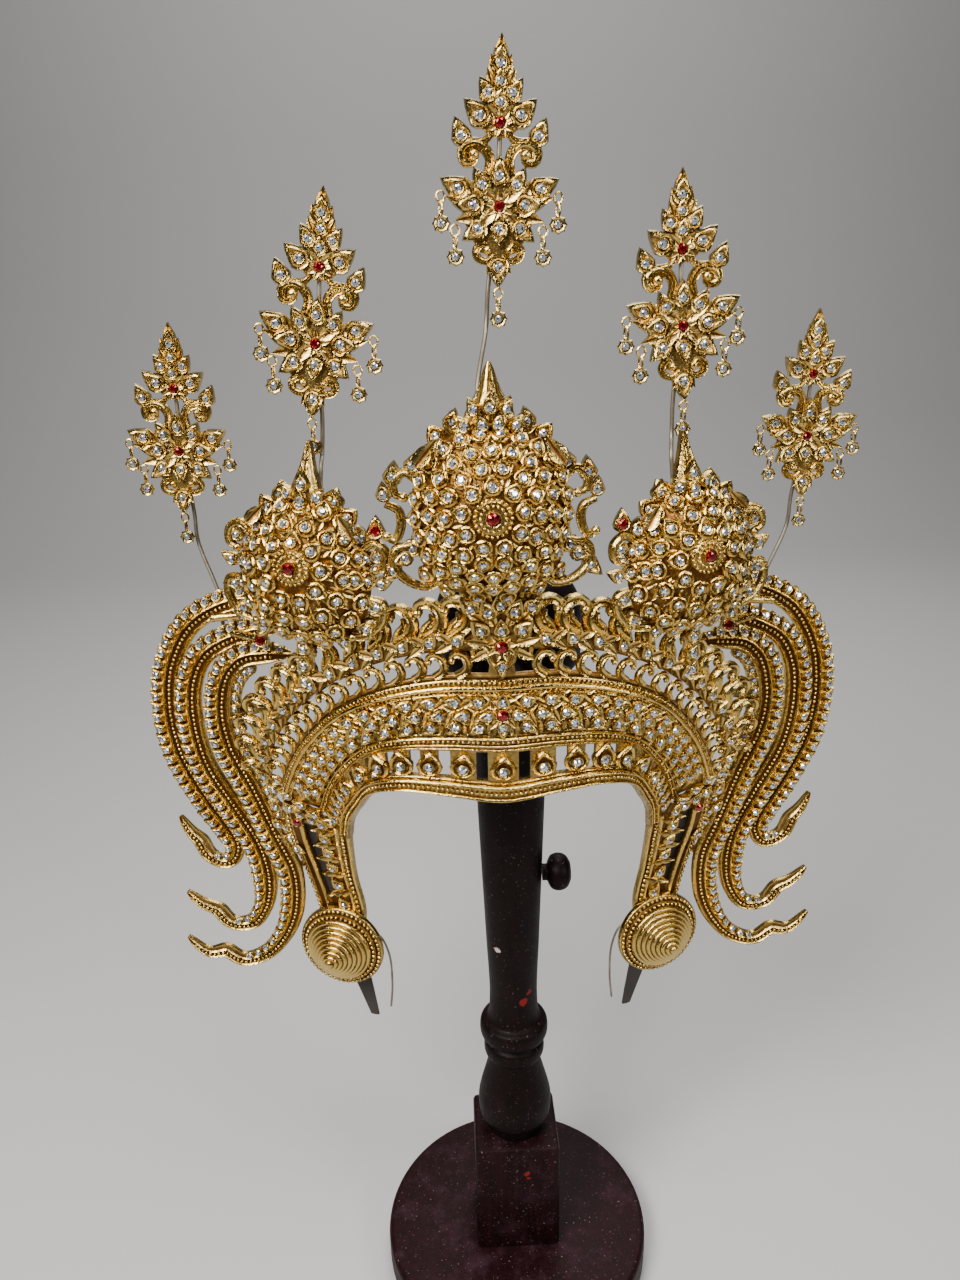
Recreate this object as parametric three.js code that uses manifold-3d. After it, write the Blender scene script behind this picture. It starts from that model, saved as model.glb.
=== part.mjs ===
// An apsara crown of gilt castings set with stones, on its turned wooden stand.
// Millimetres, +Z up, the front of the crown towards -Y, origin on the floor at the stand's axis.
import * as THREE from "three";
import { mergeVertices } from "three/addons/utils/BufferGeometryUtils.js";
import Module from "manifold-3d";

const wasm = await Module();
wasm.setup();

// Driving dimensions.
const GAP = 0.3; // clearance between neighbouring pieces
const SHEET = 1.5; // thickness of a casting behind its face plane
const CUT_PAST = 5; // how far a piercing runs past the face plane either way
const SPAN_STEPS = 24; // sections along the whole front
const CROWN_X = -7; // how far the crown sits to one side of the stand's axis

// Front of the crown from its middle to the temple, as four edges one above the other.
const SHELL = [
  { brow: [0, -66, 349], middle: [0, -66, 378], top: [0, -66, 408], crest: [0, -66, 444] },
  { brow: [24, -65, 352.5], middle: [24, -65, 379], top: [26, -64.5, 408], crest: [27, -64, 444] },
  { brow: [44, -61.5, 354], middle: [45, -60.5, 377], top: [50, -58.5, 402], crest: [56, -56, 436] },
  { brow: [58, -54, 349], middle: [60, -52, 370], top: [71, -50, 391], crest: [85, -47, 419] },
  { brow: [66, -44, 336], middle: [73, -40, 354.5], top: [87, -38, 373.5], crest: [107, -35, 401] },
  { brow: [71.5, -33, 323], middle: [81, -28, 339], top: [99, -26, 354], crest: [123, -23, 374] },
  { brow: [74, -24, 309], middle: [87, -17, 321], top: [108, -14, 332], crest: [124, -12, 340] },
];

// Face of the brow band from its top edge down: height up the shell and how far it stands proud.
const BAND_FACE = [
  { up: 2.0, proud: 2.4 },
  { up: 1.86, proud: 3.4 },
  { up: 1.8, proud: 1.6 },
  { up: 1.45, proud: 2.8 },
  { up: 1.14, proud: 1.6 },
  { up: 1.08, proud: 3.4 },
  { up: 0.92, proud: 3.0 },
  { up: 0.87, proud: 1.2 },
  { up: 0.32, proud: 1.2 },
  { up: 0.24, proud: 3.8 },
  { up: 0.0, proud: 2.4 },
];
const EDGE_SPACING = 30; // from one edge of the shell to the next, about
const WINDOW_LOW = 0.36;
const WINDOW_HIGH = 0.84;
const WINDOWS = [
  { at: 0.064, wide: 5.2 },
  { at: 0.18, wide: 5.2 },
  { at: 0.28, wide: 4.8 },
  { at: 0.385, wide: 4.6 },
  { at: 0.5, wide: 4.4 },
  { at: 0.62, wide: 4.0 },
];

// Crest: the rail across it and its two rows of curls, as heights up the shell.
const CREST_RAIL = { low: 2.45, high: 2.57, proud: 1.6 };
const CURL_ROWS = [
  { low: 2.03, high: 2.52, from: 0.14, to: 0.94, count: 8 },
  { low: 2.5, high: 3.0, from: 0.14, to: 0.94, count: 9 },
];
const CURL_BACK = 1.2;
const CURL_FRONT = 2.2;
const CURL_STEPS = 4;
const CURL_PATH = [
  { out: 0.1, up: 0.15, wide: 0.36 },
  { out: -0.17, up: 0.36, wide: 0.38 },
  { out: -0.2, up: 0.66, wide: 0.33 },
  { out: 0.04, up: 0.92, wide: 0.29 },
  { out: 0.36, up: 0.87, wide: 0.25 },
  { out: 0.42, up: 0.62, wide: 0.22 },
];
const CREST_CENTER = [
  { x: 6, z: 409 },
  { x: 5, z: 416 },
  { x: 13, z: 423 },
  { x: 12, z: 434 },
  { x: 17, z: 446 },
  { x: 9, z: 470 },
];
const CREST_CENTER_PROUD = 2.9;
const FRONT_Y = SHELL[0].top[1]; // face plane of the crown at its middle
// Flat bars that rise from the crest's rail to behind the rims of the side medallions.
const CREST_BAR = { at: 0.56, up: 2.5, wide: 6, thick: 2, low: -43, high: -26 };

// Medallions: outline of the right half from the tip down, dome, and rings of set stones.
const MEDALLION_WALL = 3;
const MEDALLION_HOLLOW = [
  { share: 0.92, rise: -0.06 },
  { share: 0.55, rise: 0.74 },
  { share: 0.1, rise: 1.0 },
];
const SCROLL = { widths: [3, 4, 4.6, 4, 3], steps: 6, lift: 1.4, back: 1.2, front: 2.4 };
const DOME = [
  { share: 1.0, rise: 0 },
  { share: 0.96, rise: 0.14 },
  { share: 0.6, rise: 0.74 },
  { share: 0.14, rise: 1.0 },
];
const CENTER_MEDALLION = {
  at: [-3.5, FRONT_Y - CREST_CENTER_PROUD - GAP, 482],
  yaw: 0,
  lean: 0,
  height: 20,
  outline: [
    [0, 55], [6, 44], [11, 36], [20, 30], [30, 22], [37, 10],
    [39, -6], [37, -20], [30, -32], [16, -39], [0, -40],
  ],
  rings: [
    { share: 0.36, count: 6 },
    { share: 0.7, count: 9 },
  ],
  scrolls: [
    [[33, 20], [39, 18], [41, 10], [39, 3], [37, 2]],
    [[37, -6], [41.5, -9], [43, -18], [38, -28], [30, -31]],
  ],
  scrollSides: [1, -1],
};
const SIDE_MEDALLION = {
  at: [79.2, -53.3, 460],
  yaw: 17,
  lean: 6.5,
  height: 16.5,
  outline: [
    [0, 48], [5, 36], [11, 27], [22, 15], [31, 4],
    [35, -10], [33, -24], [22, -34], [8, -38.5], [0, -39],
  ],
  rings: [
    { share: 0.38, count: 5 },
    { share: 0.72, count: 8 },
  ],
  scrolls: [[[26, 12], [33, 13], [37, 5], [38, -3], [34, -6]]],
  scrollSides: [-1],
};
const SETTING = { base: 4.2, table: 2, height: 2.6 };
const SETTING_SINK = 1.2; // how deep a setting is let into the dome
const ROSETTE = { base: 7.5, top: 5.4, height: 3, sink: 2 };

// Naga wing: the stone row of each of three ridges, from behind the side medallion to its bend.
const WING_BACK = 1.6;
const RIDGE_FACE = [
  { out: 2.6, proud: 1.8 },
  { out: -2.2, proud: 2.6 },
  { out: -3.6, proud: 1.0 },
  { out: -5.0, proud: 2.8 },
  { out: -9.6, proud: 0.8 },
];
const RIDGE_STEPS = 20;
const RIDGES = [
  {
    y: -2,
    row: [[112, 430], [129, 428.5], [149, 418], [162, 396], [166, 371], [163, 345], [152, 318], [144, 303]],
    tail: [[141, 293], [144, 288], [149, 291], [153, 299], [158, 304], [163, 312]],
  },
  {
    y: -5.2,
    row: [
      [112, 415], [130, 412], [144, 403], [152, 387], [154, 365],
      [150, 340], [138, 314], [129, 294], [126, 274],
    ],
    tail: [[128, 259], [134, 250], [142, 250], [148, 258], [156, 262], [164, 269]],
  },
  {
    y: -8.4,
    row: [
      [109, 405], [124, 403], [134, 393], [139, 374], [137, 352],
      [128, 328], [119, 300], [112, 279], [113, 258],
    ],
    tail: [[119, 242], [128, 232], [138, 229], [147, 235], [156, 234], [166, 243]],
  },
];
const TAIL_TIP = 0.16; // width of a tail's tip as a share of its ridge
const WING_BARS = [
  { seat: { at: 0.74, up: 2.6 }, along: [0.1, 0.1, 0.08] },
  { seat: { at: 0.97, up: 2.4 }, along: [0.47, 0.44, 0.4] },
];
const BAR_WIDE = 6;
const BAR_THICK = 2.2;
const BAR_SINK = 0.6; // how far a bar is let into the ridges' backs
const BAR_CLEAR = 0.3; // room for the curve of the crest's back
const BAR_INSET = 3.5; // from a ridge's stone row to the middle of a bar's seat
const TAIL_DEEP = 0.5; // least depth of a tail as a share of its ridge's

// Ear flaps: inner beaded edge and outer rib, from the band's end to behind the boss.
const BOSS = { at: [85, -7, 233], yaw: 18, radius: 23.5 };
const BOSS_FACE = [
  { share: 1.0, rise: 0 },
  { share: 1.0, rise: 3.0 },
  { share: 0.86, rise: 4.2 },
  { share: 0.82, rise: 6.4 },
  { share: 0.6, rise: 10.4 },
  { share: 0.3, rise: 15.6 },
  { share: 0.0, rise: 20.0 },
];
const BOSS_WALL = 2.2;
const BOSS_SIDES = 16;
const bossBackY = (x) => BOSS.at[1] + (x - BOSS.at[0]) * Math.tan(THREE.MathUtils.degToRad(BOSS.yaw));
const FLAP_PROUD = 1.6;
const FLAP_SEAT = GAP + 0.4 + FLAP_PROUD;
const flapBehindBoss = (x, forward, z) => [x, bossBackY(x) + FLAP_SEAT - forward, z];
const FLAP = [
  { inner: [74.1, -23.7, 308.5], outer: [108, -13.7, 331.4] },
  { inner: [74.6, -17.5, 296], outer: [106.5, -9.5, 305] },
  { inner: flapBehindBoss(74.6, 2, 276), outer: flapBehindBoss(102.5, 2, 280) },
  { inner: flapBehindBoss(71.5, 0, 254), outer: flapBehindBoss(97, 0, 256) },
  { inner: flapBehindBoss(74, 0, 236), outer: flapBehindBoss(95, 0, 236) },
];
const FLAP_FACE = [
  { across: 0.02, proud: 0.4 },
  { across: 0.05, proud: 1.6 },
  { across: 0.24, proud: 1.6 },
  { across: 0.28, proud: 0.6 },
  { across: 0.62, proud: 1.2 },
  { across: 0.9, proud: 0.4 },
  { across: 0.93, proud: 1.6 },
  { across: 1.0, proud: 0.8 },
];
const FLAP_WIDE = 28;
const FLAP_STEPS = 8;
const FLAP_SLOT = { from: 0.12, to: 0.66, low: 0.66, high: 0.88 };

// Leather tongue behind each flap: its edges across the flap and its free point.
const TAB_THICK = 1.6;
const TAB_LOW = 0.12;
const TAB_HIGH = 0.9;
const TAB_TIP = [72.5, 2, 177];
const TAB_TIP_HALF = 1.2;
const EAR_WIRE_RADIUS = 0.6;
const EAR_WIRE_STEPS = 7;
const EAR_WIRE = [[76, 232], [66, 236], [61, 226], [60, 206], [61.5, 190]];

// Spires: silhouette of the right half from the bottom tip up, stones, and where each one stands.
const SPIRE_OUTLINE = [
  [0, 0], [4.4, 6], [3.4, 11], [8.5, 12], [13.5, 13.5], [12.5, 20.5], [18.5, 23.5], [15.5, 28],
  [23.5, 36], [13, 38.5], [4.6, 41.5], [5, 44], [13, 44.5], [11, 49], [17.6, 54], [10.5, 55.5],
  [12, 61.5], [6.5, 61], [6.4, 66.5], [4.2, 67], [4.4, 73], [0, 86],
];
const SPIRE_HOLE = [[-2.6, 44.6], [2.6, 44.6], [0, 50]];
const SPIRE_THICK = 2;
const SPIRE_STONES = [
  { x: 0, y: 56, radius: 3.4 },
  { x: 0, y: 28, radius: 4 },
  { x: 14.5, y: 32.5, radius: 3.2 },
];
const STONE_HEIGHT = 3;
const STONE_TABLE = 0.55; // table's share of a stone's width
const STONE_SEAT = 0.5; // height of a stone's foot inside the plate
const SPIRES = [
  { name: "center", side: 1, at: [1.7, -50, 563], lean: 1.7 },
  { name: "inner_right", side: 1, at: [75.5, -50, 519], lean: -3.3 },
  { name: "inner_left", side: -1, at: [-73.3, -50, 516], lean: 7.4 },
  { name: "outer_right", side: 1, at: [147, 5, 467], lean: 0.7 },
  { name: "outer_left", side: -1, at: [-143.4, 5, 468], lean: 2.3 },
];
const WIRE_RADIUS = 0.9;
// Run of a wire beside the bottom drop and up its spire's back, and where its foot is seated.
const WIRE_RUN = [
  { aside: 4.4, y: -14, behind: 0.8 },
  { aside: 3.8, y: 0, behind: 0.4 },
  { aside: 1.2, y: 22, behind: 0 },
  { aside: 0, y: 52, behind: 0 },
];
const WIRE_STEPS = 8;
const RIDGE_WIRE_FOOT = [[131, 414], [131, 428]];
const MEDALLION_WIRE_FOOT = { aside: 4.2, low: 20, high: 9 }; // below a medallion's tip, behind its rim

// Drops: a jump ring's link down to a set stone, hung from the tips of the spires' leaves.
const DROPS = [
  { name: "high_right", x: 22, y: 33.6 },
  { name: "high_left", x: -22, y: 33.6 },
  { name: "low_right", x: 16.6, y: 22 },
  { name: "low_left", x: -16.6, y: 22 },
  { name: "bottom", x: 0, y: -GAP },
];
const DROP_PROFILE = [
  { radius: 0, down: 0 },
  { radius: 0.7, down: 7 },
  { radius: 2.3, down: 10.6 },
  { radius: 0, down: 14.5 },
];
const DROP_SIDES = 10;

// Red stones that stand alone in their settings.
const RED_PROFILE = [
  { radius: 0, rise: 0 },
  { radius: 2.4, rise: 0 },
  { radius: 3.1, rise: 1 },
  { radius: 1.9, rise: 2.3 },
  { radius: 0, rise: 2.3 },
];
const RED_SIDES = 10;
const BAND_RED = { proud: 3, z: 392 };
const CREST_RED_Z = 423;

// Stand: profiles from the floor up.
const BASE_RADIUS = 79;
const BASE_THICK = 20;
const BASE_ROUND = 3;
const BASE_SIDES = 32;
const PLINTH_WIDE = 49;
const PLINTH_DEEP = 44;
const PLINTH_TOP = 96;
const PLINTH_BEVEL = 2.5;
const POST_PROFILE = [
  { radius: 16, z: 0.6 },
  { radius: 17, z: 6 },
  { radius: 20.7, z: 14 },
  { radius: 20.7, z: 24 },
  { radius: 17, z: 40 },
  { radius: 14.5, z: 52 },
  { radius: 17, z: 56 },
  { radius: 17, z: 61 },
  { radius: 14.5, z: 64 },
  { radius: 19, z: 69 },
  { radius: 19, z: 75 },
  { radius: 15, z: 79 },
  { radius: 13.4, z: 92 },
  { radius: 17.4, z: 212 },
  { radius: 20, z: 284 },
  { radius: 34, z: 296 },
  { radius: 35, z: 324 },
  { radius: 29, z: 336 },
  { radius: 14, z: 344 },
];
const POST_SIDES = 16;
const POST_CROWN = 2; // rise of the post's top to its middle
const PEG = { radius: 6.5, z: 399, sides: 12, root: -10 };
const KNOB = { z: 268, seat: 16.1, radius: 8, neck: 4.5 };
const KNOB_PROFILE = [
  { share: "neck", out: 0 },
  { share: "neck", out: 3 },
  { share: "radius", out: 5 },
  { share: "radius", out: 14 },
];
const KNOB_END = 15;
const KNOB_SIDES = 14;

const GOLD = { color: 0xd8a028, roughness: 0.3, metalness: 1 };
const CLEAR = { color: 0xe8eef2, roughness: 0.1, metalness: 0 };
const RED = { color: 0xa01018, roughness: 0.15, metalness: 0 };
const STEEL = { color: 0x5c5244, roughness: 0.5, metalness: 0.8 };
const LEATHER = { color: 0x3a3230, roughness: 0.8, metalness: 0 };
const WOOD = { color: 0x2a1613, roughness: 0.5, metalness: 0 };

const crown = new THREE.Group();
const vector = (list) => new THREE.Vector3(...list);
const radians = THREE.MathUtils.degToRad;

// Turns every face round where a closed mesh is inside out.
function facingOut(geometry) {
  const p = geometry.getAttribute("position");
  const index = geometry.getIndex().array;
  const corner = [new THREE.Vector3(), new THREE.Vector3(), new THREE.Vector3()];
  let volume = 0;
  for (let i = 0; i < index.length; i += 3) {
    corner.forEach((c, k) => c.fromBufferAttribute(p, index[i + k]));
    volume += corner[0].dot(corner[1].clone().cross(corner[2]));
  }
  if (volume < 0) {
    geometry.setIndex(Array.from(index).reverse());
  }
  return geometry;
}

// Shared-vertex copy of a geometry, with its position alone and no faces drawn out to nothing.
function welded(geometry) {
  const plain = geometry.clone();
  plain.deleteAttribute("normal");
  plain.deleteAttribute("uv");
  const shared = mergeVertices(plain, 1e-4);
  const index = shared.getIndex().array;
  const kept = [];
  for (let i = 0; i < index.length; i += 3) {
    const [a, b, c] = index.slice(i, i + 3);
    if (a !== b && b !== c && c !== a) {
      kept.push(a, b, c);
    }
  }
  shared.setIndex(kept);
  return facingOut(shared);
}

function mirrored(geometry) {
  return facingOut(welded(geometry).scale(-1, 1, 1));
}

function manifoldOf(geometry) {
  const shared = welded(geometry);
  return new wasm.Manifold(new wasm.Mesh({
    numProp: 3,
    vertProperties: new Float32Array(shared.getAttribute("position").array),
    triVerts: new Uint32Array(shared.getIndex().array),
  }));
}

function geometryOf(manifold) {
  const { vertProperties, triVerts } = manifold.getMesh();
  const geometry = new THREE.BufferGeometry();
  geometry.setAttribute("position", new THREE.BufferAttribute(vertProperties, 3));
  geometry.setIndex(Array.from(triVerts));
  return geometry;
}

function fused(list) {
  return geometryOf(list.map(manifoldOf).reduce((whole, one) => whole.add(one)));
}

function cut(body, list) {
  return geometryOf(list.map(manifoldOf).reduce((whole, one) => whole.subtract(one), manifoldOf(body)));
}

// Closed skin through rings of points, with the ends filled to the flat outline given.
function loft(rings, outline) {
  if (THREE.ShapeUtils.isClockWise(outline)) {
    return loft(rings.map((ring) => ring.toReversed()), outline.toReversed());
  }
  const count = outline.length;
  const index = [];
  for (let row = 0; row + 1 < rings.length; row++) {
    for (let i = 0; i < count; i++) {
      const a = row * count + i;
      const b = row * count + (i + 1) % count;
      index.push(a, b, b + count, a, b + count, a + count);
    }
  }
  const last = (rings.length - 1) * count;
  for (const [a, b, c] of THREE.ShapeUtils.triangulateShape(outline, [])) {
    index.push(c, b, a, last + a, last + b, last + c);
  }
  const geometry = new THREE.BufferGeometry();
  const places = rings.flat().flatMap((p) => p.toArray());
  geometry.setAttribute("position", new THREE.Float32BufferAttribute(places, 3));
  geometry.setIndex(index);
  return facingOut(geometry);
}

const square = [[0, 0], [1, 0], [1, 1], [0, 1]].map(([x, y]) => new THREE.Vector2(x, y));

function turned(profile, sides) {
  const half = profile.map(([r, z]) => new THREE.Vector2(r, z));
  return welded(new THREE.LatheGeometry(half, sides).rotateX(Math.PI / 2));
}

function wire(points, radius, steps) {
  const section = new THREE.Shape();
  section.absarc(0, 0, radius, 0, 2 * Math.PI, false);
  const path = new THREE.CatmullRomCurve3(points);
  const tube = new THREE.ExtrudeGeometry(section, { steps, curveSegments: 3, extrudePath: path });
  return welded(tube);
}

// Stone with a table and eight side facets, standing on the plane z = 0 of its setting.
function setStone(base, table, height) {
  return new THREE.CylinderGeometry(table, base, height, 8).rotateX(Math.PI / 2).translate(0, 0, height / 2);
}

function piece(name, geometry, finish) {
  const mesh = new THREE.Mesh(geometry, new THREE.MeshStandardMaterial(finish));
  mesh.name = name;
  mesh.geometry.computeVertexNormals();
  crown.add(mesh);
  return mesh;
}

function pair(name, geometry, finish) {
  piece(`${name}_right`, geometry, finish);
  piece(`${name}_left`, mirrored(geometry), finish);
}

// The shell: at runs from -1 at the left temple to 1 at the right one, up counts the edges from the brow.
const EDGES = ["brow", "middle", "top", "crest"].map((edge) => {
  const right = SHELL.map((row) => vector(row[edge]));
  const left = right.slice(1).reverse().map((p) => new THREE.Vector3(-p.x, p.y, p.z));
  return new THREE.CatmullRomCurve3([...left, ...right]);
});

function onShell(at, up) {
  const row = THREE.MathUtils.clamp(Math.floor(up), 0, 2);
  const share = THREE.MathUtils.clamp((at + 1) / 2, 0, 1);
  return EDGES[row].getPoint(share).lerp(EDGES[row + 1].getPoint(share), up - row);
}

function shellFrame(at, up) {
  const nudge = 0.01;
  const along = onShell(at + nudge, up).sub(onShell(at - nudge, up)).normalize();
  const across = onShell(at, up + nudge).sub(onShell(at, up - nudge)).normalize();
  return { origin: onShell(at, up), along, across, normal: along.clone().cross(across).normalize() };
}

function shellPoint(at, up, proud) {
  const { origin, normal } = shellFrame(at, up);
  return origin.addScaledVector(normal, proud);
}

// Strip of the shell between two places, with one section all along.
function shellStrip(section, from, to, steps) {
  const rings = Array.from({ length: steps + 1 }, (_, i) => {
    const at = THREE.MathUtils.lerp(from, to, i / steps);
    return section.map(({ up, proud }) => shellPoint(at, up, proud));
  });
  return loft(rings, section.map(({ up, proud }) => new THREE.Vector2(up * EDGE_SPACING, proud)));
}

// Ribbon along a flat path: each ring is a triangle across the path, with its ridge at the front.
function ribbon(path, widths, steps, place, back, front) {
  const curve = new THREE.CatmullRomCurve3(path.map(([x, y]) => new THREE.Vector3(x, y, 0)));
  const rings = Array.from({ length: steps + 1 }, (_, i) => {
    const share = i / steps;
    const p = curve.getPoint(share);
    const t = curve.getTangent(share);
    const spot = share * (widths.length - 1);
    const low = Math.min(Math.floor(spot), widths.length - 2);
    const half = THREE.MathUtils.lerp(widths[low], widths[low + 1], spot - low) / 2;
    const corner = (across, proud) => place(p.x - t.y * across, p.y + t.x * across, proud);
    return [corner(-half, -back), corner(half, -back), corner(0, front)];
  });
  return loft(rings, square.slice(0, 3));
}

function browBand() {
  const back = [{ up: 0, proud: -SHEET }, { up: 2, proud: -SHEET }];
  const band = shellStrip([...back, ...BAND_FACE], -1, 1, SPAN_STEPS);
  const windows = WINDOWS.flatMap(({ at, wide }) => [at, -at].map((place) => {
    const through = [-CUT_PAST, CUT_PAST].map((proud) => {
      const { along } = shellFrame(place, (WINDOW_LOW + WINDOW_HIGH) / 2);
      const corner = (up, side) => shellPoint(place, up, proud).addScaledVector(along, side * wide / 2);
      return [corner(WINDOW_LOW, -1), corner(WINDOW_HIGH, -1), corner(WINDOW_HIGH, 1), corner(WINDOW_LOW, 1)];
    });
    return loft(through, square);
  }));
  return cut(band, windows);
}

function curl(at, low, high) {
  const { origin, along, across, normal } = shellFrame(at, low);
  const tall = onShell(at, high).distanceTo(origin);
  const place = (x, y, proud) => origin.clone()
    .addScaledVector(along, x)
    .addScaledVector(across, y)
    .addScaledVector(normal, proud);
  const path = CURL_PATH.map(({ out, up }) => [out * tall, up * tall]);
  return ribbon(path, CURL_PATH.map(({ wide }) => wide * tall), CURL_STEPS, place, CURL_BACK, CURL_FRONT);
}

function crest() {
  const { low, high, proud } = CREST_RAIL;
  const rail = shellStrip([
    { up: low, proud: -SHEET },
    { up: high, proud: -SHEET },
    { up: high, proud },
    { up: low, proud },
  ], -1, 1, SPAN_STEPS);
  const right = CURL_ROWS.flatMap((row) => Array.from({ length: row.count }, (_, i) => {
    return curl(THREE.MathUtils.lerp(row.from, row.to, i / (row.count - 1)), row.low, row.high);
  }));
  const side = [...right, crestBar()];
  const outline = [...CREST_CENTER, ...CREST_CENTER.slice().reverse().map(({ x, z }) => ({ x: -x, z }))];
  const plate = loft(
    [FRONT_Y + SHEET, FRONT_Y - CREST_CENTER_PROUD].map((y) => outline.map(({ x, z }) => vector([x, y, z]))),
    outline.map(({ x, z }) => new THREE.Vector2(x, z)),
  );
  return fused([rail, plate, ...side, ...side.map(mirrored)]);
}

function crestBar() {
  const { at, up, wide, thick, low, high } = CREST_BAR;
  const frame = medallionFrame(SIDE_MEDALLION);
  const across = vector([1, 0, 0]).transformDirection(frame).multiplyScalar(wide / 2);
  const out = vector([0, 0, 1]).transformDirection(frame).multiplyScalar(thick / 2);
  const behind = (y) => vector([0, y, -GAP - thick / 2]).applyMatrix4(frame);
  const rings = [shellPoint(at, up, 0), behind(low), behind(high)].map((p) => [
    p.clone().sub(across).sub(out),
    p.clone().add(across).sub(out),
    p.clone().add(across).add(out),
    p.clone().sub(across).add(out),
  ]);
  return loft(rings, square);
}

// Medallions lie in a plane of their own: x across, y up and z out of the dome.
function medallionFrame({ at, yaw, lean }) {
  return new THREE.Matrix4()
    .makeTranslation(...at)
    .multiply(new THREE.Matrix4().makeRotationZ(radians(yaw)))
    .multiply(new THREE.Matrix4().makeRotationX(Math.PI / 2))
    .multiply(new THREE.Matrix4().makeRotationZ(radians(lean)));
}

function medallion(form) {
  const half = form.outline.map(([x, y]) => new THREE.Vector2(x, y));
  const left = half.slice(1, -1).reverse().map(({ x, y }) => new THREE.Vector2(-x, y));
  const outline = [...half, ...left].reverse();
  const ring = (share, z) => outline.map(({ x, y }) => new THREE.Vector3(x * share, y * share, z));
  const shell = loft(DOME.map(({ share, rise }) => ring(share, rise * form.height)), outline);
  const inner = form.height - MEDALLION_WALL;
  const hollow = loft(MEDALLION_HOLLOW.map(({ share, rise }) => ring(share, rise * inner)), outline);
  const rim = new THREE.CatmullRomCurve3(ring(1, 0), true);
  const spots = form.rings.flatMap(({ share, count }) => {
    return rim.getSpacedPoints(count).slice(1).map((edge) => ({ share, edge }));
  });
  const settings = spots.map(({ share, edge }) => {
    const slope = Math.atan(domeFall(share) * form.height / edge.length());
    return setStone(SETTING.base, SETTING.table, SETTING.height + SETTING_SINK)
      .translate(0, 0, -SETTING_SINK)
      .rotateY(slope)
      .rotateZ(Math.atan2(edge.y, edge.x))
      .translate(edge.x * share, edge.y * share, domeRise(share) * form.height);
  });
  const rosette = setStone(ROSETTE.base, ROSETTE.top, ROSETTE.height + ROSETTE.sink)
    .translate(0, 0, form.height - ROSETTE.sink);
  const scrolls = form.scrolls.flatMap((path) => form.scrollSides.map((side) => {
    const place = (x, y, z) => new THREE.Vector3(side * x, y, z + SCROLL.lift);
    return ribbon(path, SCROLL.widths, SCROLL.steps, place, SCROLL.back, SCROLL.front);
  }));
  return fused([cut(shell, [hollow]), ...settings, rosette, ...scrolls]).applyMatrix4(medallionFrame(form));
}

// Rise of the dome, as a share of its height, at a share of the way to its rim, and how fast it falls.
function domeRise(share) {
  const next = DOME.findLastIndex((row) => row.share >= share);
  const [low, high] = [DOME[next], DOME[next + 1]];
  return THREE.MathUtils.mapLinear(share, low.share, high.share, low.rise, high.rise);
}

function domeFall(share) {
  const step = 0.05;
  return (domeRise(share - step) - domeRise(share + step)) / (2 * step);
}

// Place on a ridge's stone row, its outward direction, and its width as it narrows into the tail.
function ridgeFrame({ y, row, tail }, share) {
  const points = [...row, ...tail];
  const curve = new THREE.CatmullRomCurve3(points.map(([x, z]) => new THREE.Vector3(x, y, z)));
  const t = curve.getTangent(share);
  const tailStart = row.length / (points.length - 1);
  const narrow = THREE.MathUtils.clamp((share - tailStart) / (1 - tailStart), 0, 1);
  return {
    p: curve.getPoint(share),
    out: new THREE.Vector3(-t.z, 0, t.x).normalize(),
    wide: THREE.MathUtils.lerp(1, TAIL_TIP, narrow),
  };
}

function ridge(form) {
  const edges = [RIDGE_FACE.at(-1), RIDGE_FACE.at(0)];
  const section = [...edges.map(({ out }) => ({ out, proud: -WING_BACK })), ...RIDGE_FACE];
  const rings = Array.from({ length: RIDGE_STEPS + 1 }, (_, i) => {
    const { p, out, wide } = ridgeFrame(form, i / RIDGE_STEPS);
    const deep = Math.max(wide, TAIL_DEEP);
    return section.map((row) => {
      return p.clone().addScaledVector(out, row.out * wide).add(vector([0, -row.proud * deep, 0]));
    });
  });
  return loft(rings, section.map(({ out, proud }) => new THREE.Vector2(out, proud)));
}

// Flat bar soldered across the backs of the ridges, with its end behind the crest.
function wingBar({ seat, along }) {
  const foot = shellPoint(seat.at, seat.up, -SHEET - GAP - BAR_CLEAR);
  const stops = RIDGES.map((form, i) => {
    const { p, out } = ridgeFrame(form, along[i]);
    return p.addScaledVector(out, -BAR_INSET).add(vector([0, WING_BACK - BAR_SINK, 0]));
  });
  const path = [foot, ...stops.reverse()];
  const rings = path.map((p) => [[-1, 0], [1, 0], [1, 1], [-1, 1]].map(([side, back]) => {
    return p.clone().add(vector([0, back * BAR_THICK, side * BAR_WIDE / 2]));
  }));
  return loft(rings, square);
}

function nagaWing() {
  return fused([...RIDGES.map(ridge), ...WING_BARS.map(wingBar)]);
}

const FLAP_EDGES = ["inner", "outer"].map((edge) => {
  return new THREE.CatmullRomCurve3(FLAP.map((row) => vector(row[edge])));
});

function flapPoint(down, across, proud) {
  const nudge = 0.01;
  const on = (d, a) => FLAP_EDGES[0].getPoint(d).lerp(FLAP_EDGES[1].getPoint(d), a);
  const high = on(Math.max(down - nudge, 0), across);
  const along = high.sub(on(Math.min(down + nudge, 1), across));
  const side = on(down, 1).sub(on(down, 0));
  return on(down, across).addScaledVector(side.cross(along).normalize(), proud);
}

function flapLoft(section, from, to, steps) {
  const rings = Array.from({ length: steps + 1 }, (_, i) => {
    const down = THREE.MathUtils.lerp(from, to, i / steps);
    return section.map(({ across, proud }) => flapPoint(down, across, proud));
  });
  return loft(rings, section.map(({ across, proud }) => new THREE.Vector2(across * FLAP_WIDE, proud)));
}

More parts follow.
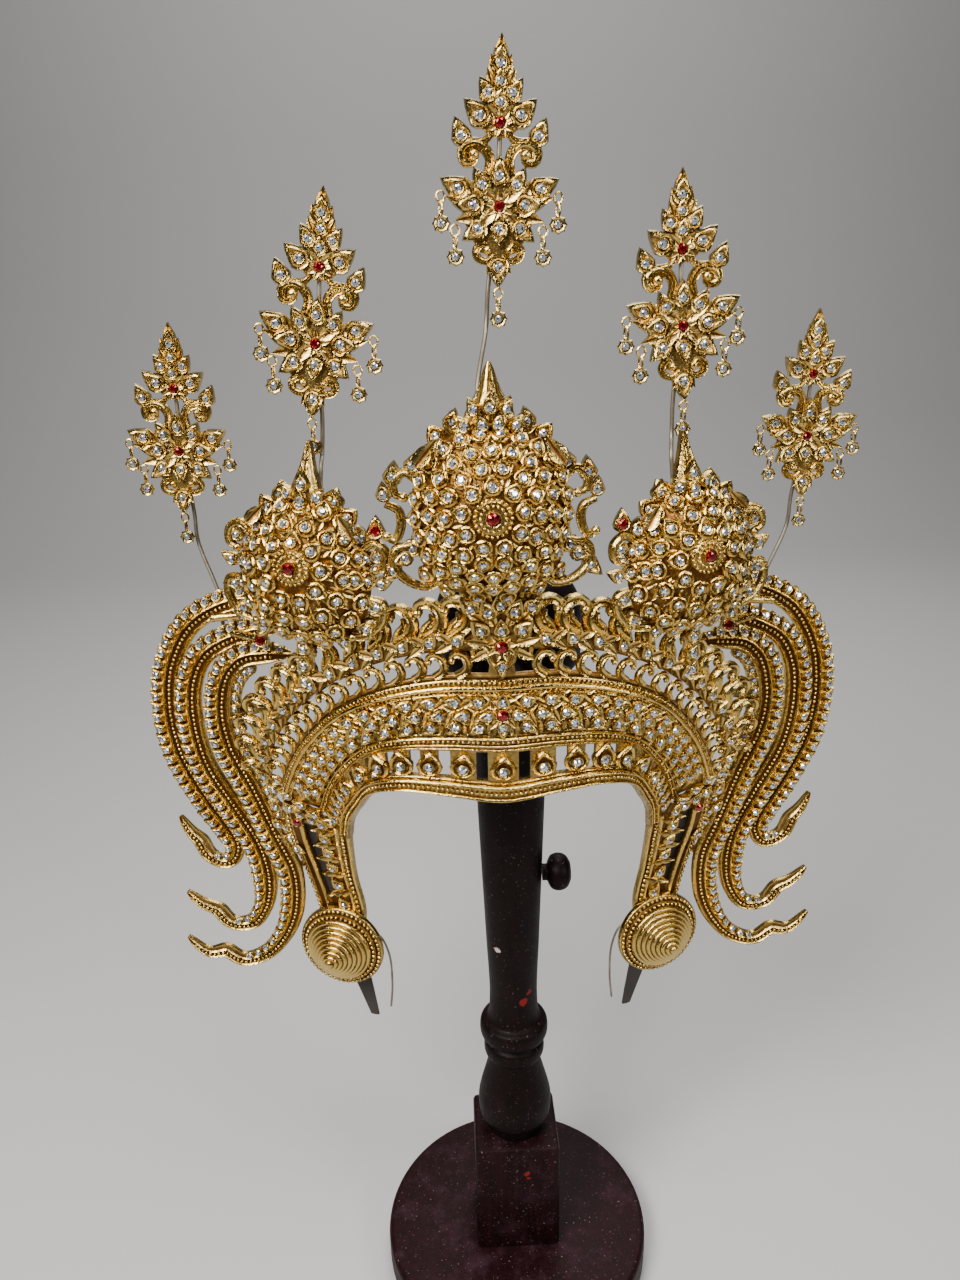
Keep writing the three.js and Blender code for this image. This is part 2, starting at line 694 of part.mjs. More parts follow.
function earFlap() {
  const back = [{ across: 1, proud: -SHEET }, { across: 0.02, proud: -SHEET }];
  const strap = flapLoft([...FLAP_FACE, ...back], 0, 1, FLAP_STEPS);
  const { from, to, low, high } = FLAP_SLOT;
  const slot = flapLoft([
    { across: low, proud: -CUT_PAST },
    { across: low, proud: CUT_PAST },
    { across: high, proud: CUT_PAST },
    { across: high, proud: -CUT_PAST },
  ], from, to, FLAP_STEPS / 2);
  return cut(strap, [slot]);
}

function earTab() {
  const back = -SHEET - GAP;
  const section = [
    { across: TAB_LOW, proud: back },
    { across: TAB_HIGH, proud: back },
    { across: TAB_HIGH, proud: back - TAB_THICK },
    { across: TAB_LOW, proud: back - TAB_THICK },
  ];
  const rings = Array.from({ length: FLAP_STEPS }, (_, i) => {
    return section.map(({ across, proud }) => flapPoint((i + 1) / FLAP_STEPS, across, proud));
  });
  rings.push(square.map(({ x, y }) => {
    return vector(TAB_TIP).add(vector([(2 * x - 1) * TAB_TIP_HALF, (y - 0.5) * TAB_THICK, 0]));
  }));
  return loft(rings, square);
}

function bossFrame() {
  return new THREE.Matrix4()
    .makeTranslation(...BOSS.at)
    .multiply(new THREE.Matrix4().makeRotationZ(radians(BOSS.yaw)))
    .multiply(new THREE.Matrix4().makeRotationX(Math.PI / 2));
}

function earBoss() {
  const outside = BOSS_FACE.map(({ share, rise }) => [share * BOSS.radius, rise]);
  const inside = [[0, BOSS_FACE.at(-1).rise - 2 * BOSS_WALL], [BOSS.radius - 2 * BOSS_WALL, 0]];
  return turned([...outside, ...inside, outside[0]], BOSS_SIDES).applyMatrix4(bossFrame());
}

function earWire() {
  const behind = FLAP_SEAT + SHEET + GAP + TAB_THICK + 2 * GAP + 2 * EAR_WIRE_RADIUS;
  const points = EAR_WIRE.map(([x, z]) => vector([x, bossBackY(x) + behind, z]));
  return wire(points, EAR_WIRE_RADIUS, EAR_WIRE_STEPS);
}

// Spires stand in a frame of their own: x across, y up and z out of the face.
function spireFrame({ at, lean }) {
  return new THREE.Matrix4()
    .makeTranslation(...at)
    .multiply(new THREE.Matrix4().makeRotationY(radians(lean)))
    .multiply(new THREE.Matrix4().makeRotationX(Math.PI / 2));
}

function spire() {
  const half = SPIRE_OUTLINE.map(([x, y]) => new THREE.Vector2(x, y));
  const left = half.slice(1, -1).reverse().map(({ x, y }) => new THREE.Vector2(-x, y));
  const shape = new THREE.Shape([...half, ...left]);
  shape.holes.push(new THREE.Path(SPIRE_HOLE.map(([x, y]) => new THREE.Vector2(x, y))));
  const plate = new THREE.ExtrudeGeometry(shape, { depth: SPIRE_THICK, bevelEnabled: false });
  const stones = SPIRE_STONES.flatMap(({ x, y, radius }) => (x === 0 ? [0] : [x, -x]).map((across) => {
    const stone = setStone(radius, radius * STONE_TABLE, STONE_HEIGHT + SPIRE_THICK - STONE_SEAT);
    return stone.translate(across, y, STONE_SEAT);
  }));
  return fused([plate, ...stones]);
}

function wireFoot({ name, side }) {
  const clear = GAP + WIRE_RADIUS;
  if (name.startsWith("outer")) {
    const y = RIDGES[0].y + WING_BACK + clear;
    return RIDGE_WIRE_FOOT.map(([x, z]) => vector([side * x, y, z]));
  }
  const medallion = name === "center" ? CENTER_MEDALLION : SIDE_MEDALLION;
  const tip = medallion.outline[0][1];
  const { aside, low, high } = MEDALLION_WIRE_FOOT;
  return [tip - low, tip - high].map((y) => {
    const p = vector([-aside, y, -clear]).applyMatrix4(medallionFrame(medallion));
    return vector([side * p.x, p.y, p.z]);
  });
}

function spireWire(form) {
  const run = WIRE_RUN.map(({ aside, y, behind }) => {
    return vector([-form.side * aside, y, -GAP - WIRE_RADIUS - behind]).applyMatrix4(spireFrame(form));
  });
  return wire([...wireFoot(form), ...run], WIRE_RADIUS, WIRE_STEPS);
}

function drop() {
  return turned(DROP_PROFILE.map(({ radius, down }) => [radius, -down]).reverse(), DROP_SIDES);
}

function redStone() {
  return turned(RED_PROFILE.map(({ radius, rise }) => [radius, rise]), RED_SIDES);
}

// Stand.
function standBase() {
  const high = BASE_THICK - BASE_ROUND;
  return turned([
    [0, 0],
    [BASE_RADIUS - BASE_ROUND, 0],
    [BASE_RADIUS, BASE_ROUND],
    [BASE_RADIUS, high],
    [BASE_RADIUS - BASE_ROUND, BASE_THICK],
    [0, BASE_THICK],
  ], BASE_SIDES);
}

function standPlinth() {
  const low = BASE_THICK + GAP;
  const ring = (inset, z) => [[-1, -1], [1, -1], [1, 1], [-1, 1]].map(([x, y]) => {
    return vector([x * (PLINTH_WIDE / 2 - inset), y * (PLINTH_DEEP / 2 - inset), z]);
  });
  return loft([ring(0, low), ring(0, PLINTH_TOP - PLINTH_BEVEL), ring(PLINTH_BEVEL, PLINTH_TOP)], square);
}

function standPost() {
  const profile = POST_PROFILE.map(({ radius, z }) => [radius, PLINTH_TOP + z]);
  const low = profile[0][1];
  const high = profile.at(-1)[1] + POST_CROWN;
  const post = turned([[0, low], ...profile, [0, high]], POST_SIDES);
  const bandBack = FRONT_Y + SHEET + GAP;
  const peg = new THREE.CylinderGeometry(PEG.radius, PEG.radius, PEG.root - bandBack, PEG.sides)
    .translate(0, (bandBack + PEG.root) / 2, PEG.z);
  return fused([post, peg]);
}

function standKnob() {
  const profile = KNOB_PROFILE.map(({ share, out }) => [KNOB[share], out]);
  return turned([[0, 0], ...profile, [0, KNOB_END]], KNOB_SIDES)
    .rotateY(Math.PI / 2)
    .translate(KNOB.seat + GAP, 0, KNOB.z);
}

piece("stand_base", standBase(), WOOD);
piece("stand_plinth", standPlinth(), WOOD);
piece("stand_post", standPost(), WOOD);
piece("stand_knob", standKnob(), WOOD);
piece("brow_band", browBand(), GOLD);
piece("crest", crest(), GOLD);
piece("medallion_center", medallion(CENTER_MEDALLION), GOLD);
pair("medallion", medallion(SIDE_MEDALLION), GOLD);
pair("naga_wing", nagaWing(), GOLD);
pair("ear_flap", earFlap(), GOLD);
pair("ear_boss", earBoss(), GOLD);
pair("ear_tab", earTab(), LEATHER);
pair("ear_wire", earWire(), STEEL);

for (const form of SPIRES) {
  piece(`spire_${form.name}`, spire().applyMatrix4(spireFrame(form)), GOLD);
  piece(`spire_wire_${form.name}`, spireWire(form), STEEL);
  for (const { name, x, y } of DROPS) {
    const hook = vector([x, y, SPIRE_THICK / 2]).applyMatrix4(spireFrame(form));
    const mesh = piece(`drop_${form.name}_${name}`, drop(), CLEAR);
    mesh.position.copy(hook);
  }
}

function redOn(name, frame) {
  piece(name, redStone().applyMatrix4(frame), RED);
}

function faceFrame(x, y, z) {
  return new THREE.Matrix4()
    .makeTranslation(x, y, z)
    .multiply(new THREE.Matrix4().makeRotationX(Math.PI / 2));
}

const rosetteTop = (form) => form.height + ROSETTE.height + GAP;
redOn("band_red_stone", faceFrame(0, FRONT_Y - BAND_RED.proud - GAP, BAND_RED.z));
redOn("crest_red_stone", faceFrame(0, FRONT_Y - CREST_CENTER_PROUD - GAP, CREST_RED_Z));
for (const [name, form] of [["center", CENTER_MEDALLION], ["right", SIDE_MEDALLION]]) {
  const lift = new THREE.Matrix4().makeTranslation(0, 0, rosetteTop(form));
  const frame = medallionFrame(form).multiply(lift);
  redOn(`medallion_red_stone_${name}`, frame);
  if (name === "right") {
    piece("medallion_red_stone_left", mirrored(redStone().applyMatrix4(frame)), RED);
  }
}

for (const mesh of crown.children) {
  if (!mesh.name.startsWith("stand")) {
    mesh.position.x += CROWN_X;
  }
}

export default crown;
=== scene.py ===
"""Looks of the apsara crown on its turned wooden stand: gilt, set stones, wire, leather and wood."""

import math
from functools import cache

import bmesh
import bpy
import numpy as np
from mathutils import Matrix


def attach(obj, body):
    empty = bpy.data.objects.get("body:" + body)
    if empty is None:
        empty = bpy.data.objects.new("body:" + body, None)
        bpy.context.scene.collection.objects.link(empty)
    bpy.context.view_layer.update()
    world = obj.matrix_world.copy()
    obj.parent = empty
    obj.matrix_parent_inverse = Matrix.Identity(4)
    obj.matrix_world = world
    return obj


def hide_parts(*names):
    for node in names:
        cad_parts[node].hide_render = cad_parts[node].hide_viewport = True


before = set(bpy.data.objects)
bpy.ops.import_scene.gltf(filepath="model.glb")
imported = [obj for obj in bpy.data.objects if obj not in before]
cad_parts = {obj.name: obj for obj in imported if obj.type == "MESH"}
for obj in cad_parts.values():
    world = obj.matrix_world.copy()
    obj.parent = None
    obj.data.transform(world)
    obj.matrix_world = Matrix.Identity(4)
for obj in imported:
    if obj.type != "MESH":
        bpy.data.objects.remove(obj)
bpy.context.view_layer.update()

bl_info = {
    "name": "Apsara Crown",
    "version": (1, 0, 0),
    "blender": (4, 5, 0),
    "location": "View3D > Sidebar > Apsara Crown",
    "description": "Gilt dance crown with set stones on a turned wooden stand",
    "category": "Add Mesh",
}

# Sizes in millimetres, in the crown's own frame: the face looks to -Y, the crown's middle is x 0

MM = 0.001
CROWN_MIDDLE = (-7.0, 0, 0)  # from the post's axis
GAP = 0.3
SHEET = 1.5
FRONT_Y = -66.0
SIDES = {"right": 1, "left": -1}
FORWARD = np.array((0, -1.0, 0))
UPRIGHT = np.array((0, 0, 1.0))
# Relief of the backs of sheets, which gives them some painted crevice shade
BACK_RELIEF = 0.35
BEAD_SPACING = 2.7  # in radii of the beads

# The shell of the band and crest: points on the right half of its brow, middle, top and crest edges
SHELL = [
    [(0, -66, 349), (24, -65, 352.5), (44, -61.5, 354), (58, -54, 349),
     (66, -44, 336), (71.5, -33, 323), (74, -24, 309)],
    [(0, -66, 378), (24, -65, 379), (45, -60.5, 377), (60, -52, 370),
     (73, -40, 354.5), (81, -28, 339), (87, -17, 321)],
    [(0, -66, 408), (26, -64.5, 408), (50, -58.5, 402), (71, -50, 391),
     (87, -38, 373.5), (99, -26, 354), (108, -14, 332)],
    [(0, -66, 444), (27, -64, 444), (56, -56, 436), (85, -47, 419),
     (107, -35, 401), (123, -23, 374), (124, -12, 340)],
]

# Band: up is 0 at the brow, 1 at the middle border and 2 at the top border
BAND_FACE = [(0, 1.2), (0.33, 0.9), (0.87, 0.9), (1.14, 1.1), (1.45, 2.0), (1.78, 1.3), (2, 1.4)]
BAND_RIBS = [  # up, half width, height
    (1.98, 0.02, 1.0), (1.865, 0.055, 2.3), (1.765, 0.018, 1.0), (1.135, 0.018, 1.0), (1.075, 0.034, 2.0),
    (0.955, 0.02, 1.4), (0.885, 0.016, 0.9), (0.325, 0.018, 1.0), (0.255, 0.05, 2.8), (0.04, 0.036, 1.7),
]
RIB_STEPS = (-1, -0.6, 0, 0.6, 1)
BAND_BEADS = [(1.942, 1.5), (1.8, 1.5), (1.015, 1.7), (0.142, 2.1)]  # up, proud
WINDOW_LOW = 0.36
WINDOW_HIGH = 0.84
WINDOWS = [(0.064, 5.2), (0.18, 5.2), (0.28, 4.8), (0.385, 4.6), (0.5, 4.4), (0.62, 4.0)]  # at, width
BAND_ROWS = [(1.655, 0.0, 28), (1.455, 6.4, -4), (1.265, 0.0, -30)]  # up, first stone, leaf's rise
BAND_SPACING = 10.2
BAND_STONES_END = 0.96
BAND_DAISIES = [(1.455, 3.6), (1.7, 1.5)]  # up, radius
NICHE_PLACES = [0, 0.122, 0.23, 0.3325, 0.4425, 0.56, 0.68, 0.75, 0.82, 0.89, 0.955]

# Crest
CREST_RAILS = [(2.34, 2.56, 1.3), (2.0, 2.06, 1.2)]  # low, high, proud
CREST_ROWS = [  # heights, places, half width as a share of the height, leafy body or not
    {"low": 2.02, "high": 2.33, "first": 0.105, "last": 0.965, "count": 15, "width": 0.17, "body": False},
    {"low": 2.52, "high": 2.99, "first": 0.105, "last": 0.955, "count": 13, "width": 0.165, "body": True},
]
CREST_TALL = [(0.1, 1.0), (0.3, 0.95), (0.55, 0.95), (0.75, 1.0), (0.95, 1.1)]  # place, curl's height
CURL_PATH = [(0.2, 0.0), (-0.1, 0.2), (-0.2, 0.48), (-0.08, 0.78), (0.16, 0.9), (0.38, 0.82), (0.41, 0.63)]
CURL_BODY = [(0.3, -0.02), (0.22, 0.2), (0.06, 0.42), (0.1, 0.62)]
CURL_BODY_WIDTHS = [0.15, 0.14, 0.1, 0.03]
CURL_SECTION = [(-1, -0.6), (-1, 0.15), (-0.72, 0.68), (-0.34, 0.56), (-0.12, 0.22), (0.12, 0.56),
                (0.62, 0.74), (1, 0.15), (1, -0.6)]
CURL_RELIEF = [0.3, 0.8, 1.0, 0.9, 0.0, 0.9, 1.0, 0.8, 0.3]
CURL_WIDTHS = [1.15, 1.1, 1.0, 0.95, 0.85, 0.8]
CREST_CENTER = [(0, 408), (6, 409), (5, 416), (13, 423), (12, 434), (17, 446), (9, 470), (0, 472)]
CREST_BAR = {"at": 0.56, "up": 2.5, "half": 3.0, "thick": 2.0, "low": -43, "high": -26}
CREST_SETTINGS = [  # across, height, tip's turn from straight up, leaf's length
    (0, 414, 180, 10), (0, 430, 0, 11), (8.6, 430, 40, 13), (5.5, 438, 20, 13), (0, 441, 0, 14),
    (12.5, 440, 50, 12), (10, 449, 30, 13), (3.4, 449, 8, 12),
]
CREST_BLADES = [  # across, height, tip's turn, length
    (8.4, 419.4, 112, 8), (9.6, 425, 78, 9), (4.2, 435, 24, 8), (9.4, 435.2, 52, 9),
    (6.6, 444.5, 28, 9), (13.6, 446, 40, 9), (3.4, 455, 10, 9), (8, 456, 24, 9),
]
CREST_SCROLL = [(1.5, 412), (4.5, 416), (6, 420.5), (9, 423.5), (12, 422), (12, 418.6)]

# Medallions in their own frame, across and up from the red stone: the face's half outline, rings of
# stones by radius and count with how far the outer one is let down, extra petals, rim leaves by place,
# tip's turn and length, the finial's rows by height, half width and depth with its leaves, and scrolls
MEDALLIONS = {
    "center": {
        "at": (-3.5, -69.2, 482), "yaw": 0, "lean": 0, "height": 20,
        "face": [(0, 37), (11, 35), (20, 28.5), (27.5, 19), (32, 7), (33, -6), (31, -19), (25, -30),
                 (14, -36.5), (0, -38)],
        "rings": [(11.2, 9), (17.3, 14), (22.9, 20), (28.6, 25)], "drop": -0.5,
        "extra": [(13.2, 32.4), (20.6, 28.4), (25.8, -25.4), (31.2, -15.2), (17.8, -32.2), (6.2, -35.8)],
        "horn": (25.6, 21.6, -36, 12), "petal": 1.08,
        "rim": [(30.2, 17.6, -24, 9.5), (38, 13.4, -8, 11), (41.8, 6.5, 4, 9), (39.5, -24, 132, 10.5),
                (14.6, 33.6, -18, 9.5), (34.5, -19, 100, 10)],
        "finial": {"rows": [(28, 9.5, 4.5), (32.5, 10.4, 6.2), (37, 9.4, 6.4), (41, 7.2, 5.6),
                            (44.5, 5.0, 4.8), (49.5, 3.1, 3.4), (53, 2.0, 2.4), (55.5, 0.7, 1.4)],
                   "leaves": [(0, 39.4, 0, 9.5), (5.9, 38.6, 24, 8.5), (2.8, 33, 8, 8), (9.2, 32.4, 40, 8)]},
        "scrolls": [[(28.5, 11.5), (33.5, 15), (37.6, 12), (37.4, 7), (34, 5.4)],
                    [(41.4, 3), (36.6, 0.5), (35.4, -5), (38.2, -11.5), (41.4, -10)],
                    [(31.5, -13.5), (38.4, -15.5), (39, -22.5), (33, -29), (25.5, -31), (21, -28.5)],
                    [(9, 32.5), (13, 29.8), (16, 32), (14.6, 35.2), (12, 34)]],
    },
    "right": {
        "at": (79.2, -53.3, 460), "yaw": 17, "lean": 6.5, "height": 16.5,
        "face": [(0, 29), (9, 27), (17, 20.5), (24, 11.5), (28.5, 0), (30, -12), (27.5, -24), (20, -33),
                 (9, -37.2), (0, -38)],
        "rings": [(11.6, 9), (19.2, 14), (26.6, 20)], "drop": -5.0,
        "extra": [(10.5, 25.4), (17.4, 19.6), (17.6, 11.2), (22.9, 4.6), (22.9, -4), (0, -35), (9, -34.4)],
        "horn": (20.4, 16.6, -36, 10), "petal": 1.2,
        "rim": [(24.2, 12.6, -24, 9), (31.5, 5.5, -6, 10), (33.6, -5.5, 60, 9), (32, -16, 100, 9.5),
                (28, -26.5, 126, 10), (18.5, -33.5, 150, 10), (12.4, 25.6, -18, 9)],
        "finial": {"rows": [(21, 8, 4), (25.5, 7.4, 5.2), (29.5, 6.6, 5.4), (33, 5.4, 4.8), (36.5, 3.9, 4),
                            (41, 2.5, 2.8), (45, 1.6, 2), (48.5, 0.6, 1.2)],
                   "leaves": [(0, 32.2, 0, 9.5), (5.8, 27.4, 40, 8), (0, 25.6, 0, 8)]},
        "scrolls": [[(24, 7), (29.5, 11), (34.4, 8), (34.6, 2), (31, 0)],
                    [(29, -12.5), (34.6, -14), (35, -21.5), (29, -29), (22, -31)],
                    [(7.5, 24.5), (11, 22), (13.6, 24), (12.4, 27), (10, 26)]],
    },
}
MEDALLION_SIDES = {"center": 1, "right": 1, "left": -1}
ROSETTE = [  # radius, above the dome, relief
    (8.2, -3.0, 0.1), (8.2, -1.4, 0.8), (7.5, -0.2, 0.3), (6.3, 1.2, 0.9), (4.0, 1.4, 0.4), (0, 1.4, 0.3),
]
ROSETTE_BEADS = [(7.2, 0.7), (4.9, 1.8)]
UNDER_RINGS = (14, 19, 24, 29)
DOME = [  # share of the way out, height
    (0.0, 1.0), (0.14, 0.985), (0.36, 0.9), (0.6, 0.73), (0.8, 0.46), (0.92, 0.24), (0.97, 0.1), (1.0, 0.0),
]
DOME_WALL = 1.6
FINIAL_SEAT = 2.2
FINIAL_FACE = [  # across, rise, relief: two polished lobes with a groove between them and rolled edges
    (-1, 0, 0.3), (-0.92, 0.45, 0.9), (-0.7, 0.62, 0.2), (-0.5, 0.95, 0.9), (-0.25, 1.0, 1), (0, 0.78, 0.1),
    (0.25, 1.0, 1), (0.5, 0.95, 0.9), (0.7, 0.62, 0.2), (0.92, 0.45, 0.9), (1, 0, 0.3),
]

# Wings: each ridge runs down its outer side and ends in a flame tail
RIDGES = [
    {"y": -2.0, "row": [(104, 429), (115, 431), (130, 429), (149, 418), (162, 396), (166, 371), (163, 345),
                        (152, 318), (144, 303)],
     "tail": [(140, 292), (143, 286.5), (149, 289), (153, 298), (157.5, 303), (163, 312)]},
    {"y": -5.2, "row": [(103, 414), (115, 416), (130, 412), (144, 403), (152, 387), (154, 365), (150, 340),
                        (138, 314), (129, 294), (126, 274)],
     "tail": [(128, 259), (134, 250), (142, 250), (148, 258), (156, 262), (164, 269)]},
    {"y": -8.4, "row": [(98, 402), (110, 405), (124, 403), (134, 393), (139, 374), (137, 352), (128, 328),
                        (119, 300), (112, 279), (113, 258)],
     "tail": [(119, 242), (128, 232), (138, 229), (147, 235), (156, 234), (166, 243)]},
]
RIDGE_FACE = [  # out, proud, relief
    (2.6, 0.4, 0.5), (2.3, 1.4, 0.9), (1.2, 1.0, 0.2), (-0.9, 1.0, 0.1), (-1.6, 1.3, 0.4), (-2.0, 2.3, 1.0),
    (-2.6, 2.6, 1.0), (-3.1, 2.2, 0.9), (-3.5, 0.5, 0.0), (-6.7, 0.5, 0.0), (-7.1, 1.5, 0.8),
    (-7.8, 2.0, 1.0), (-8.6, 1.6, 0.8), (-9.4, 0.5, 0.5),
]
RIDGE_BEADS = (-5.1, 1.15)
WING_BACK = 1.6
ARCH_END = 0.5
RIDGE_START = [(0, 0.3), (0.02, 0.62), (0.05, 0.9), (0.08, 1)]  # share of the ridge, width
TAIL_WIDTH = [  # share of the tail, width
    (0, 1), (0.2, 0.8), (0.45, 0.72), (0.65, 0.74), (0.82, 0.6), (0.94, 0.4), (1, 0.18),
]
SOCKETS = [  # rolled tubes, end to end
    ((120.6, -8, 421), (134.5, -6.5, 419.6)), ((110.4, -17.4, 412.2), (125.4, -7.6, 412.6)),
]
TUBE = [  # share of the tube, radius, relief
    (0, 1.0, 0.1), (0, 1.9, 0.5), (0.08, 2.2, 1), (0.2, 2.0, 0.8), (0.85, 1.9, 0.8), (0.95, 2.2, 1),
    (1, 1.7, 0.6), (1, 0.9, 0.1),
]
WING_BARS = [((104, 428), (122, 424), -1.5), ((116, 372), (140, 366), -3.0)]

# Ear flaps and bosses
BOSS = {"at": (85, -7, 233), "yaw": 18, "radius": 23.5}
BOSS_STEPS = 9
BOSS_RIM = [  # in from the edge, height, relief
    (0, 0, 0.4), (0, 2.4, 0.9), (0.4, 2.9, 0.3), (2.8, 3.1, 0.0), (3.1, 4.3, 0.3), (5.4, 4.5, 0.0),
]
BOSS_CONE = (5.6, 5.2, 19.6)  # in from the edge, foot, top
BOSS_BEADS = [(1.5, 3.4), (4.2, 4.8)]  # in from the edge, height
FLAP_SEAT = 2.3
FLAP_ROWS = [  # inner x, y, z, outer x, y, z, forward; a y of None comes from the boss's back
    (74.1, -23.7, 308.5, 108, -13.7, 331.4, 0), (74.6, -17.5, 296, 106.5, -9.5, 305, 0),
    (74.6, None, 276, 102.5, None, 280, 2), (71.5, None, 254, 97, None, 256, 0),
    (74, None, 236, 95, None, 236, 0),
]
FLAP_FACE = [  # across, proud, relief
    (0, 0.3, 0.4), (0.015, 1.4, 0.9), (0.05, 1.7, 1.0), (0.075, 0.7, 0.1), (0.175, 0.7, 0.1),
    (0.2, 1.7, 1.0), (0.23, 1.7, 1.0), (0.25, 0.6, 0.0), (0.33, 0.8, 0.2), (0.42, 1.0, 0.2),
    (0.52, 0.8, 0.1), (0.56, 0.6, 0.0), (0.74, 0.6, 0.2), (0.76, 1.8, 0.8), (0.785, 2.3, 1.0),
    (0.81, 1.8, 0.8), (0.83, 0.5, 0.0), (0.92, 0.5, 0.0), (0.94, 1.0, 0.5), (0.99, 1.0, 0.5),
    (1.0, 0.2, 0.4),
]
FLAP_SLOT = (0.56, 0.74, 0.14, 0.68)  # across from, to, down from, to
FLAP_BEADS = [(0.125, 1.4), (0.965, 1.5)]  # across, proud
FLAP_STONE_ACROSS = 0.4
FLAP_EDGE = [(1.1, 0.02), (1.13, 0.12), (1.15, 0.22), (1.16, 0.32), (1.16, 0.42), (1.15, 0.52)]
FLAP_RED = (0.79, 0.13)
FLAP_TOP = [(0.3, -0.01), (0.5, 0.0), (0.7, 0.0), (0.9, 0.0), (0.56, 0.07), (0.74, 0.08), (0.9, 0.08)]
TAB_TIP = (72.5, 2, 177)
TAB_BOW = 1.6
TAB_THICK = 1.6
EAR_WIRE = [(76, 232), (66, 236), (61, 226), (60, 206), (61.5, 190)]
EAR_WIRE_RADIUS = 0.6

# Spires: settings and scrolls in their own frame, across and up from the bottom tip
SPIRES = {
    "center": {"at": (1.7, -50, 563), "lean": 1.7, "side": 1, "foot": "center"},
    "inner_right": {"at": (75.5, -50, 519), "lean": -3.3, "side": 1, "foot": "right"},
    "inner_left": {"at": (-73.3, -50, 516), "lean": 7.4, "side": -1, "foot": "left"},
    "outer_right": {"at": (147, 5, 467), "lean": 0.7, "side": 1, "foot": None},
    "outer_left": {"at": (-143.4, 5, 468), "lean": 2.3, "side": -1, "foot": None},
}
SPIRE_SETTINGS = [  # across, up, tip's turn from straight up, leaf's length, stone's size
    (0, 75.6, 0, 11.5, 1.0), (0, 70, 0, 8.5, 0.9), (4.6, 66.2, 32, 10, 0.95), (0, 63.2, 0, 9, 0.95),
    (7.6, 59, 48, 13, 1.05), (14.2, 52.4, 22, 11, 1.0), (0, 39.2, 0, 11.5, 1.05), (6.4, 36.2, 30, 11, 1.0),
    (15.4, 34.8, 62, 12.6, 1.05), (9.6, 29.2, 88, 13, 1.05), (8.0, 21, 128, 12, 1.05),
    (0, 20.8, 180, 10.5, 1.0), (0, 7.6, 180, 12.5, 1.08),
]
SPIRE_LEAVES = [  # across, up, tip's turn, length: leaves without a stone behind the others
    (0, 78.6, 0, 8.5), (2.4, 73.4, 14, 7), (10.8, 34.6, 30, 6.5), (14.0, 30.5, 76, 8.5),
    (10.6, 25.2, 104, 8.5), (2.6, 8.6, 150, 5.5),
    (4.6, 32.8, 60, 8), (4.4, 25, 140, 8), (3.6, 59.6, 60, 8), (3.2, 69, 22, 7),
]
SPIRE_REDS = [(0, 56.6), (0, 28.7)]
SPIRE_SCROLLS = [  # path, half width
    ([(4.6, 39.6), (3.6, 44.6), (6, 48.6), (10, 49.8), (13.6, 47.6), (12.8, 43.8),
      (9.8, 44), (9.6, 46.2)], 2.1),
    ([(1.6, 12), (4.4, 9.8), (7.8, 10.8), (8.4, 14), (5.8, 15.6), (4.2, 13.6)], 1.55),
    ([(2.8, 53.5), (5.4, 51), (9, 50.6), (12.4, 51.6)], 1.35),
]
SPIRE_PLATES = [  # half outlines behind the leaves, below and above the open triangle
    [(0, 3), (3.2, 6), (2.6, 11), (7, 13), (10, 17), (11, 20), (13.5, 24), (13, 28), (17, 33), (11, 37),
     (4.6, 40.5), (0, 41.5)],
    [(0, 51.5), (4, 52.4), (7.4, 55.4), (8.6, 58.4), (7.6, 60.6), (5.4, 62), (4.8, 66), (3.2, 68),
     (3.2, 73), (0, 81)],
]
SPIRE_THICK = 1.4
WIRE_RADIUS = 0.9
WIRE_RUN = [(4.4, -14, 0.8), (3.8, 0, 0.4), (1.2, 22, 0), (0, 52, 0)]  # aside, up, behind
WING_FOOT = [(131, 0.8, 414), (131, 0.8, 428)]  # where the outer wires start
FINIAL_FOOT = (20.5, 9.5)  # how far below a finial's top the other wires start
HOOKS = {"high_right": (22, 33.6), "high_left": (-22, 33.6), "low_right": (16.6, 22),
         "low_left": (-16.6, 22), "bottom": (0, -0.3)}
DROP_LINKS = [(-1.7, 1.6, 2.0, 0.0), (-5.6, 1.0, 2.5, 0.9)]  # middle, half width, half height, turn
DROP_WIRE = 0.45
DROP_BEAD = -8.3
DROP_STONE = -10.9
DROP_FLOWER = [  # radius, height, how deep its lobes are, relief
    (0.3, -1.7, 0, 0.2), (1.8, -1.2, 0, 0.5), (3.1, -0.5, 0.1, 0.8), (3.2, 0.1, 0.12, 1.0),
    (2.6, 0.8, 0.08, 1.0), (1.9, 0.55, 0, 0.7), (1.6, 0.1, 0, 0.0),
]

# Red stones
RED_PLACES = {"band": (0, FRONT_Y - 3.3, 392), "crest": (0, FRONT_Y - 3.2, 423)}
SMALL_REDS = [(49.5, -66.5, 473, 8), (109.2, -21, 412.5, 6)]  # x, y, z, turn outwards

# Stand, about the Z axis
BASE_RADIUS = 79.0
BASE_THICK = 20.0
BASE_EDGE = 3.0
PLINTH_HALF = (24.5, 22.0)
PLINTH_TOP = 96.0
PLINTH_CORNER = 2.5
PLINTH_ROWS = [  # height, how far in
    (BASE_THICK + GAP, 1.2), (BASE_THICK + GAP + 1.2, 0.0), (PLINTH_TOP - 2.2, 0.0), (PLINTH_TOP - 0.7, 0.6),
    (PLINTH_TOP, 2.2),
]
POST = [(16, 0.6), (16.2, 3), (17, 6), (20.2, 11), (21, 15), (21, 23), (19.6, 30), (17, 40), (15, 48),
        (14.5, 52), (16.6, 54.6), (17.2, 58.5), (16.6, 62), (14.6, 64.4), (18.4, 67.4), (19.3, 72),
        (18.4, 76.6), (15, 79), (13.4, 92), (14.6, 132), (16, 172), (17.4, 212), (18.6, 250), (20, 282),
        (26, 289), (34, 296), (35.4, 310), (35, 324), (29, 336), (14, 344)]
PEG = [(6.5, 10), (6.5, 62.4), (5.5, 63.8), (4.1, 64.2)]
PEG_HEIGHT = 399.0
KNOB_HEIGHT = 268.0
